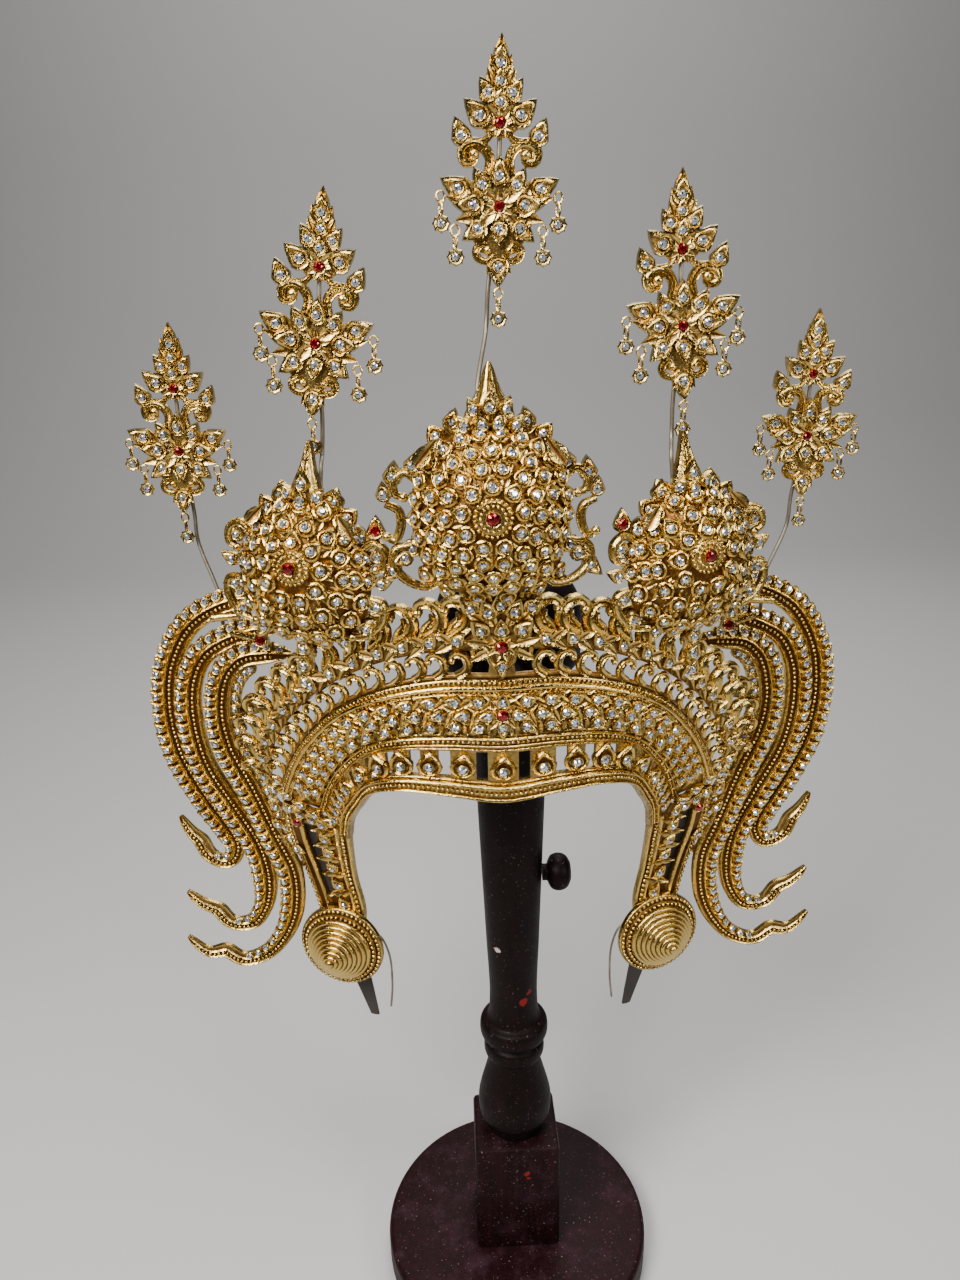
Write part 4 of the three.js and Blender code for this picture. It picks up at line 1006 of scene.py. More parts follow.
def set_stones(name, spots, cup, stone="clear", seed=1, fill=0.82):
    """Cups as one gilt piece, and as another a stone in each that fills that share of its cup."""
    scatter(name + "_cups", spots, shape_cup(), scale=cup, seed=seed)
    raised = spots.moved(0.2 * cup)
    return scatter(f"{name}_{stone}_stones", raised, shape_stone(), stone, cup * fill, tilt=5, seed=seed + 7)


# Finishes

class Value:
    """A socket of a shader tree that takes part in Python sums."""

    def __init__(self, paint, socket):
        self.paint = paint
        self.socket = socket

    def sum(self, operation, first, second, clamp=False):
        """A Math node on two values."""
        return self.paint.add("ShaderNodeMath", {"operation": operation, "use_clamp": clamp},
                              {0: first, 1: second})

    def __add__(self, other):
        return self.sum("ADD", self, other)

    def __radd__(self, other):
        return self.sum("ADD", other, self)

    def __sub__(self, other):
        return self.sum("SUBTRACT", self, other)

    def __rsub__(self, other):
        return self.sum("SUBTRACT", other, self)

    def __mul__(self, other):
        return self.sum("MULTIPLY", self, other)

    def __rmul__(self, other):
        return self.sum("MULTIPLY", other, self)

    def clamped(self):
        """The same value held between 0 and 1."""
        return self.sum("ADD", self, 0.0, clamp=True)


class Paint(Nodes):
    """One material: a Principled shader and the nodes that feed it."""

    def __init__(self, name, **constants):
        self.material = bpy.data.materials.new(name)
        self.material.use_nodes = True
        self.tree = self.material.node_tree
        self.tree.nodes.clear()
        self.shader = self.tree.nodes.new("ShaderNodeBsdfPrincipled")
        output = self.tree.nodes.new("ShaderNodeOutputMaterial")
        self.tree.links.new(self.shader.outputs[0], output.inputs["Surface"])
        self.feed(**constants)

    def add(self, kind, settings, sockets, output=0):
        """Adds a node and gives one of its outputs."""
        return Value(self, self.node(kind, settings, sockets).outputs[output])

    def feed(self, **sockets):
        """Feeds the shader's own sockets, whose names are given with underscores."""
        for name, value in sockets.items():
            self.join(self.shader.inputs[name.replace("_", " ")], value)

    def place(self):
        """The piece's own coordinates."""
        return self.add("ShaderNodeTexCoord", {}, {}, "Object")

    def noise(self, scale, detail=3.0, rough=0.55, place=None):
        """Cloudy noise, with its scale per metre."""
        return self.add("ShaderNodeTexNoise", {}, {"Vector": place or self.place(), "Scale": scale,
                                                   "Detail": detail, "Roughness": rough})

    def attribute(self, name):
        """A number kept on the mesh."""
        return self.add("ShaderNodeAttribute", {"attribute_name": name}, {}, "Fac")

    def mix(self, share, low, high):
        """A colour between two."""
        return self.add("ShaderNodeMix", {"data_type": "RGBA"}, {0: share, 6: low, 7: high}, 2)

    def bump(self, height, strength, distance):
        """A bump that feeds the shader's normal."""
        self.feed(Normal=self.add("ShaderNodeBump", {}, {"Strength": strength, "Distance": distance,
                                                         "Height": height}))


def paint_gilt(colours):
    """Gilt casting: bright and crumpled like leaf on its proud edges, with painted shade that darkens it to
    warm brown in its crevices and wherever its relief is low.
    """
    paint = Paint("gilt_casting")
    relief = paint.attribute("relief")
    cloud = paint.noise(380, 4.0)
    crumple = paint.noise(850, 3.0, 0.6)
    grain = paint.noise(2600, 2.0)
    # Painted crevice shade: low relief, with some cloudy noise, turns the gilt dark brown
    deep = ((0.55 - relief) * 2.1 + (cloud - 0.5) * 1.2).clamped()
    thin = ((paint.noise(90, 4.0) - 0.46) * 3.0).clamped()
    bright = paint.mix(thin * 0.6, colours.gilt, colours.gilt_warm)
    paint.feed(Base_Color=paint.mix(deep, bright, colours.gilt_crevice_shade), Metallic=1.0 - deep * 0.15,
               Roughness=0.11 + deep * 0.25 + grain * 0.08)
    paint.bump(crumple + cloud * 1.2 + grain * 0.2, 0.45, 0.0006)
    return paint.material


def paint_stone(name, light, dark, rough):
    """A foil-backed cut stone whose facets have painted light and dark reflections."""
    paint = Paint(name, Metallic=0.8, Roughness=rough, Coat_Weight=0.8, Coat_Roughness=0.02, IOR=1.6)
    # Painted reflections: each facet's kept value, with a little cloudy noise, picks the light or the dark
    # colour
    reflection_share = paint.attribute("tone")
    cloud = paint.noise(700, 2.0)
    paint.feed(Base_Color=paint.mix((reflection_share + (cloud - 0.5) * 0.3).clamped(), light, dark))
    paint.bump(paint.noise(1800, 1.0), 0.05, 0.0002)
    return paint.material


def paint_wire(colours):
    """Dull spring wire with brown tarnish."""
    paint = Paint("dull_wire", Metallic=0.85)
    stain = paint.noise(160, 4.0)
    paint.feed(Base_Color=paint.mix((stain * 1.6 - 0.4).clamped(), colours.wire, colours.wire_stain),
               Roughness=0.38 + stain * 0.25)
    paint.bump(paint.noise(1500, 2.0), 0.15, 0.0002)
    return paint.material


def paint_leather(colours):
    """Dark worn leather with fine grain."""
    paint = Paint("dark_leather")
    cell = paint.add("ShaderNodeTexVoronoi", {"feature": "DISTANCE_TO_EDGE"},
                     {"Vector": paint.place(), "Scale": 1300.0})
    wear = paint.noise(60, 5.0)
    paint.feed(Base_Color=paint.mix((wear * 2.2 - 0.7).clamped(), colours.leather, colours.leather_worn),
               Roughness=0.62 + wear * 0.25)
    paint.bump(cell * 4.0 + paint.noise(700, 3.0), 0.35, 0.0004)
    return paint.material


def paint_wood(name, colours):
    """Dark lacquered wood with long grain, dust, small chips and larger marks."""
    kind = WOODS[name]
    paint = Paint("lacquered_" + name, Specular_IOR_Level=0.09)
    along = paint.add("ShaderNodeMapping", {}, {"Vector": paint.place(), "Scale": (1.0, 1.0, 0.06)})
    fibre = paint.noise(320, 5.0, 0.65, along)
    dust = ((paint.noise(55, 6.0, 0.7) - 0.5) * 3.0).clamped()
    specks = ((paint.noise(700, 2.0) - 0.66) * 9.0).clamped()
    surface = paint.mix((fibre * 1.8 - 0.45).clamped(), getattr(colours, kind["colour"]),
                        getattr(colours, kind["grain"]))
    surface = paint.mix(dust * kind["dust"], surface, colours.dust)
    surface = paint.mix(specks * kind["chips"], surface, colours.chip)
    for place, radius, tint in kind["marks"]:
        away = paint.add("ShaderNodeVectorMath", {"operation": "DISTANCE"},
                         {0: paint.place(), 1: [part * MM for part in place]}, "Value")
        worn = ((radius * MM - away) * 1400.0 + (paint.noise(500, 4.0) - 0.5) * 5.0).clamped()
        surface = paint.mix(worn, surface, getattr(colours, tint))
    paint.feed(Base_Color=surface, Roughness=0.42 + dust * 0.3 + fibre * 0.12)
    paint.bump(fibre + paint.noise(900, 2.0) * 0.4 + specks * kind["chips"], 0.25, 0.0006)
    return paint.material


def paint_floor(colours):
    """A plain pale studio floor."""
    paint = Paint("pale_floor", Roughness=0.75)
    shade = [part * 0.96 for part in colours.floor[:3]] + [1.0]
    paint.feed(Base_Color=paint.mix(paint.noise(1.3, 3.0), colours.floor, shade))
    return paint.material


@cache
def material(finish):
    """A finish by name, mixed from the scene's colours when it is first asked for."""
    colours = bpy.context.scene.crown_colours
    if finish in WOODS:
        return paint_wood(finish, colours)
    if finish == "clear":
        return paint_stone("clear_stone", colours.clear, colours.clear_dark_reflection, 0.05)
    if finish == "red":
        return paint_stone("red_stone", colours.red, colours.red_dark_reflection, 0.1)
    painters = {"gilt": paint_gilt, "wire": paint_wire, "leather": paint_leather, "floor": paint_floor}
    return painters[finish](colours)


def colour(title, words, value):
    """A colour that a user may change."""
    return bpy.props.FloatVectorProperty(name=title, description=words, subtype="COLOR", size=4, min=0,
                                         max=1, default=(*value, 1.0))


def length(title, words, value):
    """A length that a user may change, given in millimetres."""
    return bpy.props.FloatProperty(name=title, description=words, unit="LENGTH", default=value * MM,
                                   min=0.0001)


class CrownColours(bpy.types.PropertyGroup):
    """Colours of the crown, its stand and the stage."""

    gilt: colour("Gilt", "Bright gold of the proud edges", (0.62, 0.44, 0.135))
    gilt_warm: colour("Warm gilt", "Redder gold where the gilding is thin", (0.5, 0.27, 0.05))
    # Colour of the painted crevice shade on the gilt
    gilt_crevice_shade: colour("Deep gilt", "Brown gold of the crevices", (0.11, 0.042, 0.006))
    # The stone colours are painted reflections: the light and the dark facets
    clear: colour("Clear stone", "Light facets of the clear stones", (0.88, 0.9, 0.95))
    clear_dark_reflection: colour("Clear stone, dark", "Dark facets of the clear stones", (0.05, 0.06, 0.09))
    red: colour("Red stone", "Light facets of the red stones", (0.38, 0.003, 0.006))
    red_dark_reflection: colour("Red stone, dark", "Dark facets of the red stones", (0.05, 0.0005, 0.001))
    wire: colour("Wire", "Spring wire", (0.3, 0.27, 0.22))
    wire_stain: colour("Wire stain", "Tarnish on the wire", (0.13, 0.09, 0.05))
    leather: colour("Leather", "Leather of the ear tabs", (0.018, 0.012, 0.01))
    leather_worn: colour("Worn leather", "Rubbed leather", (0.05, 0.038, 0.032))
    post: colour("Post", "Lacquer of the post and plinth", (0.0025, 0.0013, 0.0013))
    post_grain: colour("Post grain", "Grain that shows through the lacquer", (0.008, 0.003, 0.0025))
    base: colour("Base", "Lacquer of the base", (0.007, 0.002, 0.0027))
    base_grain: colour("Base grain", "Grain of the base and plinth", (0.02, 0.0045, 0.006))
    dust: colour("Dust", "Dust on the stand", (0.055, 0.025, 0.037))
    chip: colour("Chips", "Chips in the lacquer", (0.55, 0.42, 0.36))
    paint: colour("Paint", "Smears of red paint on the stand", (0.17, 0.01, 0.011))
    floor: colour("Floor", "Studio floor", (0.5, 0.493, 0.483))


class CrownSizes(bpy.types.PropertyGroup):
    """Sizes of the settings and beads."""

    medallion_cup: length("Medallion cup", "Outer radius of a medallion's stone cup", 2.3)
    rosette_bead: length("Rosette bead", "Radius of the beads round a medallion's red stone", 0.75)
    band_cup: length("Band cup", "Outer radius of a band stone's cup", 2.35)
    niche_cup: length("Niche cup", "Outer radius of a window row stone's cup", 2.7)
    wing_cup: length("Wing cup", "Outer radius of a wing stone's cup", 2.2)
    spire_cup: length("Spire cup", "Outer radius of a spire stone's cup", 2.1)
    red_cup: length("Red stone cup", "Outer radius of a red stone's cup", 3.3)
    band_bead: length("Band bead", "Radius of the band's beads", 0.8)
    wing_bead: length("Wing bead", "Radius of the wings' beads", 0.85)
    flap_bead: length("Flap bead", "Radius of the ear flaps' beads", 1.05)
    boss_bead: length("Boss bead", "Radius of the ear bosses' beads", 1.0)


def size(name):
    """One of the sizes that a user may change, in millimetres."""
    return getattr(bpy.context.scene.crown_sizes, name) / MM


# Operators

class CROWN_OT_stage(bpy.types.Operator):
    """Pale floor, soft lights and the camera at the photograph's angle"""

    bl_idname = "crown.stage"
    bl_label = "Stage"
    bl_options = {"REGISTER", "UNDO"}

    def execute(self, context):
        self.floor(context.scene)
        self.lamps(context.scene)
        self.camera(context.scene)
        return {"FINISHED"}

    def floor(self, scene):
        """A floor that bends up into a wall."""
        bend = [(FLOOR_BACK + FLOOR_BEND * math.sin(a), FLOOR_BEND * (1 - math.cos(a))) for a in quarter(14)]
        profile = [(FLOOR_FRONT, 0.0), *bend, (FLOOR_BACK + FLOOR_BEND, WALL_TOP)]
        points = [(x, y, z) for y, z in profile for x in (-FLOOR_HALF, FLOOR_HALF)]
        faces = [(2 * k, 2 * k + 1, 2 * k + 3, 2 * k + 2) for k in range(len(profile) - 1)]
        mesh = bpy.data.meshes.new("studio_floor")
        mesh.from_pydata(points, [], faces)
        mesh.shade_smooth()
        mesh.materials.append(material("floor"))
        floor = bpy.data.objects.new("studio_floor", mesh)
        scene.collection.objects.link(floor)

    def lamps(self, scene):
        """A dim room and the soft lamps."""
        world = bpy.data.worlds.new("soft_room")
        world.use_nodes = True
        room = world.node_tree.nodes["Background"].inputs
        room["Color"].default_value = ROOM_COLOUR
        room["Strength"].default_value = ROOM_LIGHT
        scene.world = world
        for number, (place, aim, width, watts, tint) in enumerate(LAMPS):
            lamp = bpy.data.lights.new(f"softbox_{number}", "AREA")
            lamp.size = width
            lamp.energy = watts
            lamp.color = tint
            back = unit(np.subtract(place, aim))
            beside = unit(np.cross((0, 0, 1), back))
            holder = self.hang(scene, lamp, beside, np.cross(back, beside), back, place)
            holder.visible_camera = False

    def camera(self, scene):
        """The camera, where the photograph was taken from."""
        lens = bpy.data.cameras.new("photo_camera")
        lens.sensor_fit = "VERTICAL"
        lens.sensor_height = SENSOR
        lens.lens = SENSOR * PHOTO_FOCUS / PHOTO_ROWS
        lens.clip_start = 0.01
        ahead = unit(CAMERA_AHEAD)
        above = unit(CAMERA_ABOVE)
        scene.camera = self.hang(scene, lens, np.cross(ahead, above), above, -ahead, CAMERA_PLACE)

    def hang(self, scene, data, beside, above, back, place):
        """Puts a lamp or camera in the scene by its own three directions and its place."""
        holder = bpy.data.objects.new(data.name, data)
        axes = np.column_stack([beside, above, back, place])
        holder.matrix_world = Matrix([*axes.tolist(), (0, 0, 0, 1)])
        scene.collection.objects.link(holder)
        return holder


class CROWN_OT_stand(bpy.types.Operator):
    """Base disc, square plinth, turned post with its peg, and knob"""

    bl_idname = "crown.stand"
    bl_label = "Stand"
    bl_options = {"REGISTER", "UNDO"}

    def execute(self, context):
        self.base().piece("stand_base_disc", ["stand_base"], "base", move=(0, 0, 0))
        self.plinth().piece("stand_plinth_block", ["stand_plinth"], "plinth", move=(0, 0, 0))
        self.post().piece("stand_post_turning", ["stand_post"], "post", move=(0, 0, 0))
        self.knob().piece("stand_knob_turning", ["stand_knob"], "post", move=(0, 0, 0))
        return {"FINISHED"}

    def base(self):
        """A round plate with rounded edges."""
        disc = Casting()
        arc = [(BASE_RADIUS - BASE_EDGE * (1 - math.cos(a)), BASE_EDGE * math.sin(a)) for a in quarter(6)]
        foot = [(radius, BASE_EDGE - height) for radius, height in arc[::-1]]
        rim = [(radius, BASE_THICK - BASE_EDGE + height) for radius, height in arc]
        disc.loft(lathe([(0, 0), *foot, *rim, (40, BASE_THICK), (0, BASE_THICK)], 96))
        return disc

    def plinth(self):
        """A square block with rounded corners and eased edges."""
        block = Casting()
        half_x, half_y = (half - PLINTH_CORNER for half in PLINTH_HALF)
        rings = []
        for height, inset in PLINTH_ROWS:
            ring = []
            for sx, sy, start in ((1, 1, 0), (-1, 1, 90), (-1, -1, 180), (1, -1, 270)):
                for angle in np.radians(start + np.linspace(0, 90, 6)):
                    ring.append((sx * half_x + (PLINTH_CORNER - inset) * math.cos(angle),
                                 sy * half_y + (PLINTH_CORNER - inset) * math.sin(angle), height))
            rings.append(ring)
        block.loft(rings)
        return block

    def post(self):
        """The turned post with its domed top, and the peg that carries the band."""
        post = Casting()
        profile = Path(flat(POST)).evenly(180)[:, :2]
        end, top = POST[-1]
        dome = [(end * math.cos(a), top + 2 * math.sin(a)) for a in quarter(5)]
        turned = [(0, POST[0][1]), *profile, *dome[1:]]
        post.loft(lathe(turned, 64) + (0, 0, PLINTH_TOP))
        post.loft(moved(shift((0, 0, PEG_HEIGHT)) @ turn("X", 90), lathe(PEG, 28)))
        return post

    def knob(self):
        """The turned knob at the side of the post."""
        knob = Casting()
        profile = Path(flat(KNOB)).evenly(40)[:, :2]
        knob.loft(moved(shift((KNOB_SEAT, 0, KNOB_HEIGHT)) @ turn("Y", 90), lathe(profile, 36)))
        return knob


def band_proud(up):
    """How far the band's face stands out at a height, and its relief there."""
    up = np.asarray(up, float)
    ribs = np.zeros_like(up)
    for middle, half, height in BAND_RIBS:
        inside = 1 - ((up - middle) / half) ** 2
        ribs = np.maximum(ribs, height * np.sqrt(np.maximum(inside, 0)))
    return np.interp(up, *zip(*BAND_FACE)) + ribs, np.clip(0.18 + ribs / 1.6 + 0.2 * (up < 1), 0, 1)


def swung(along, across, degrees):
    """A direction turned from along towards across."""
    return along * math.cos(math.radians(degrees)) + across * math.sin(math.radians(degrees))


def with_cuts(places, cuts, near):
    """Sorted places with the cuts among them, less those that lie too near a cut."""
    clear = [place for place in places if min(abs(place - cut) for cut in cuts) > near]
    return np.unique([*clear, *cuts])


class CROWN_OT_band(bpy.types.Operator):
    """Brow band: ribs, pierced windows, bead rows and its stones in flame leaves"""

    bl_idname = "crown.band"
    bl_label = "Brow band"
    bl_options = {"REGISTER", "UNDO"}

    def execute(self, context):
        self.casting().piece("band_casting", ["brow_band"])
        stones, leaves, blades = self.rows()
        scatter("band_leaves", leaves, shape_lotus(LEAF), seed=3)
        scatter("band_blades", blades, shape_blade(), seed=4)
        set_stones("band", stones, size("band_cup"), seed=5)
        niches = self.niches()
        scatter("band_niches", niches, shape_lotus(PETAL), seed=9)
        set_stones("band_niche", niches.moved(1.1, -0.4, 1.0), size("niche_cup"), seed=11, fill=0.76)
        at = np.linspace(-0.995, 0.995, 260)
        string_beads("band_beads", [on_face(at, up, proud) for up, proud in BAND_BEADS], size("band_bead"))
        return {"FINISHED"}

    def casting(self):
        """The pierced band itself."""
        gaps = []
        for at, width in WINDOWS:
            pace = np.linalg.norm(on_shell(at + 0.01, 0.6) - on_shell(at - 0.01, 0.6)) / 0.02
            half = width / 2 / pace
            gaps += [(side * at - half, side * at + half) for side in SIDES.values()]
        columns = with_cuts(np.linspace(-1, 1, 131).round(4), np.ravel(gaps), 0.006)
        ribs = [round(middle + half * share, 4) for middle, half, _ in BAND_RIBS for share in RIB_STEPS]
        rows = [row for row in (*np.linspace(0, 2, 61).round(4), *ribs) if 0 <= row <= 2]
        rows = with_cuts(rows, [WINDOW_LOW, WINDOW_HIGH], 0.004)
        proud, relief = band_proud(rows)
        pierced = np.any([cells(columns, low, high) for low, high in gaps], axis=0)
        keep = ~(cells(rows, WINDOW_LOW, WINDOW_HIGH)[:, None] & pierced)
        front = face_grid(columns, rows, proud[:, None])
        band = Casting()
        band.sheet(front, face_grid(columns, rows, -SHEET), relief[:, None], keep)
        return band

    def rows(self):
        """Stones of the three rows between the borders, the leaf round each and the plain leaves between."""
        stones, leaves, blades = Spots(), Spots(), Spots()
        for up, first, rise in BAND_ROWS:
            for place in across_places(up, BAND_SPACING, first):
                for side in sides_of(place):
                    where, along, across, out = face_spot(side * place, up, band_proud(up)[0] + 0.2)
                    tip = swung(side * along, across, math.copysign(90, rise) if place == 0 else rise)
                    stones.add(where + out * 1.5, out, tip)
                    leaves.add(where + out * 0.5, out, tip, 9.0)
                    for flank in (SIDES.values() if place == 0 else (side,)):
                        beside = flank * along
                        below = where + beside * 4.8 - across - out * 0.7
                        above = where + beside * 4.4 + across * 1.8 - out * 0.8
                        blades.add(below, out, swung(beside, across, rise - 55), 8.2)
                        blades.add(above, out, beside + across * 0.5, 7.2)
        for up, radius in BAND_DAISIES:
            daisy(blades, on_face(0, up, band_proud(up)[0])[0], FORWARD, UPRIGHT, radius, 8, 6.5)
        return stones, leaves, blades

    def niches(self):
        """Pointed arches of the window row."""
        niches = Spots()
        for place in NICHE_PLACES:
            for side in sides_of(place):
                where, _, across, out = face_spot(side * place, 0.55, 1.3)
                niches.add(where, out, across, 1.6 if place < 0.5 else 1.3)
        return niches


class CROWN_OT_crest(bpy.types.Operator):
    """Crest: rail, two rows of curls, its stones and the stacked middle ornament"""

    bl_idname = "crown.crest"
    bl_label = "Crest"
    bl_options = {"REGISTER", "UNDO"}

    def execute(self, context):
        self.casting().piece("crest_casting", ["crest"])
        for name, side in SIDES.items():
            for number, row in enumerate(CREST_ROWS):
                scatter(f"crest_curls_{name}_{number}", self.curls(row, side),
                        shape_curl(side, row["width"], row["body"]), seed=13 + number)
        stones, leaves, blades = Spots(), Spots(), Spots()
        self.curl_settings(stones, leaves, blades)
        self.bar_settings(stones, leaves)
        self.middle_settings(stones, leaves, blades)
        scatter("crest_leaves", leaves, shape_lotus(LEAF), seed=15)
        scatter("crest_blades", blades, shape_blade(), seed=16)
        set_stones("crest", stones, size("band_cup") * 0.95, seed=17)
        return {"FINISHED"}

    def casting(self):
        """Rails, middle plate, its scrolls, and the two bars that carry the side medallions."""
        crest = Casting()
        at = np.linspace(-0.97, 0.97, 121)
        for low, high, proud in CREST_RAILS:
            up = np.linspace(low, high, 7)
            inside = 1 - ((up - (low + high) / 2) / ((high - low) / 2)) ** 2
            round_face = np.sqrt(np.maximum(inside, 0.05))[:, None]
            crest.sheet(face_grid(at, up, proud * round_face), face_grid(at, up, -1.0), round_face * 0.2)
        plane = crest_frame()
        ring = both_halves(CREST_CENTER)
        middle = (0, 440)
        rings = [flat(ring * (0.98, 1), -1.2), flat(ring, -0.4), flat(ring, 0.9),
                 flat((ring - middle) * 0.93 + middle, 1.5)]
        # The middle plate gets low relief, which paints it with crevice shade
        crest.loft(moved(plane, rings), each_ring([0.3, 0.3, 0.4, 0.2]))
        scrolls(crest, CREST_SCROLL, 1.25, plane, 1.6)
        for side in SIDES.values():
            self.bar(crest, side)
        return crest

    def bar(self, crest, side):
        """The bar from the crest's rail up behind a side medallion."""
        matrix = medallion_frame("right")
        half = CREST_BAR["thick"] / 2
        line = [on_face(CREST_BAR["at"], CREST_BAR["up"], -1.6)[0]]
        line += [moved(matrix, (0, CREST_BAR[end], -half - GAP)) for end in ("low", "high")]
        beside, out = aimed(matrix, [(CREST_BAR["half"], 0, 0), (0, 0, half)])
        rings = [[p - beside - out, p + beside - out, p + beside + out, p - beside + out] for p in line]
        crest.loft(rings, 0.4, side)

    def curls(self, row, side):
        """One row of curls on one side, hooked away from the middle."""
        spots = Spots()
        for place in np.linspace(row["first"], row["last"], row["count"]):
            low, _, _, out = face_spot(side * place, row["low"], 0.5)
            reach = on_face(side * place, row["high"], 0.5)[0] - low
            tall = np.interp(place, *zip(*CREST_TALL))
            spots.add(low, out, reach, np.linalg.norm(reach) * tall)
        return spots

    def curl_settings(self, stones, leaves, blades):
        """A stone in a leaf at the foot of each upper curl, with plain leaves beside it."""
        row = CREST_ROWS[1]
        step = (row["last"] - row["first"]) / (row["count"] - 1)
        for place in np.linspace(row["first"], row["last"], row["count"]):
            for side in SIDES.values():
                along, across, out = (rows[0] for rows in shell_frame(side * place, 2.5))
                where = on_face(side * (place + 0.16 * step), 2.47, 1.4)[0]
                tip = across * 0.75 - side * along * 0.65
                stones.add(where + out * 0.9, out, tip)
                leaves.add(where, out, tip, 9.0)
                for up, rise, long in ((2.5, 0.6, 8.0), (2.4, -0.5, 7.0)):
                    beside = on_face(side * min(place + 0.6 * step, 0.97), up, 0.9)[0]
                    blades.add(beside, out, side * along * 0.9 + across * rise, long)

    def bar_settings(self, stones, leaves):
        """Stones in leaves up the two bars."""
        matrix = medallion_frame("right")
        foot = on_face(CREST_BAR["at"], CREST_BAR["up"], 1.2)[0]
        head = moved(matrix, (0, CREST_BAR["low"] + 5, 2.2))
        out, tip = aimed(matrix, [(0, 0, 1), (0.25, 1, 0)])
        for share in (0.12, 0.5, 0.88):
            where = foot * (1 - share) + head * share
            for side in SIDES.values():
                over = np.array((side, 1, 1))
                leaves.add(where * over, out * over, tip * over, 10.5)
                stones.add((where + out * 1.1) * over, out * over, tip * over)

    def middle_settings(self, stones, leaves, blades):
        """Stones and leaves of the stacked middle ornament, and the daisy round its red stone."""
        plane = crest_frame()
        middle = leaf_rows(plane, CREST_SETTINGS, 2.1, scale=0.9)
        leaves.places += middle.places
        stones.places += middle.moved(1.1, scale=1.0).places
        blades.places += leaf_rows(plane, CREST_BLADES, 1.7).places
        daisy(blades, moved(plane, (0, 423, 1.9)), FORWARD, UPRIGHT, 3.5, 9, 5.0)


class Dome:
    """A medallion's domed face over its outline, in its own frame."""

    def __init__(self, kind):
        self.height = kind["height"]
        half = np.asarray(kind["face"], float) * 0.95
        self.ring = both_halves(Path(flat(half)).evenly(40)[:, :2])
        self.angle = np.mod(np.arctan2(self.ring[:, 0], self.ring[:, 1]), 2 * math.pi)
        self.reach = np.linalg.norm(self.ring, axis=1)

    def share(self, x, y):
        """How far out a point lies, 1 on the outline."""
        angle = np.mod(np.arctan2(x, y), 2 * math.pi)
        return np.hypot(x, y) / np.interp(angle, self.angle, self.reach, period=2 * math.pi)

    def rise(self, x, y):
        """The height of the face above a point."""
        return self.height * np.interp(np.minimum(self.share(x, y), 1), *zip(*DOME))

    def frame(self, x, y):
        """A point of the face with the direction out of it there."""
        step = 1.2
        slope_x = (self.rise(x + step, y) - self.rise(x - step, y)) / (2 * step)
        slope_y = (self.rise(x, y + step) - self.rise(x, y - step)) / (2 * step)
        return np.array((x, y, self.rise(x, y))), unit((-slope_x, -slope_y, 1.0))


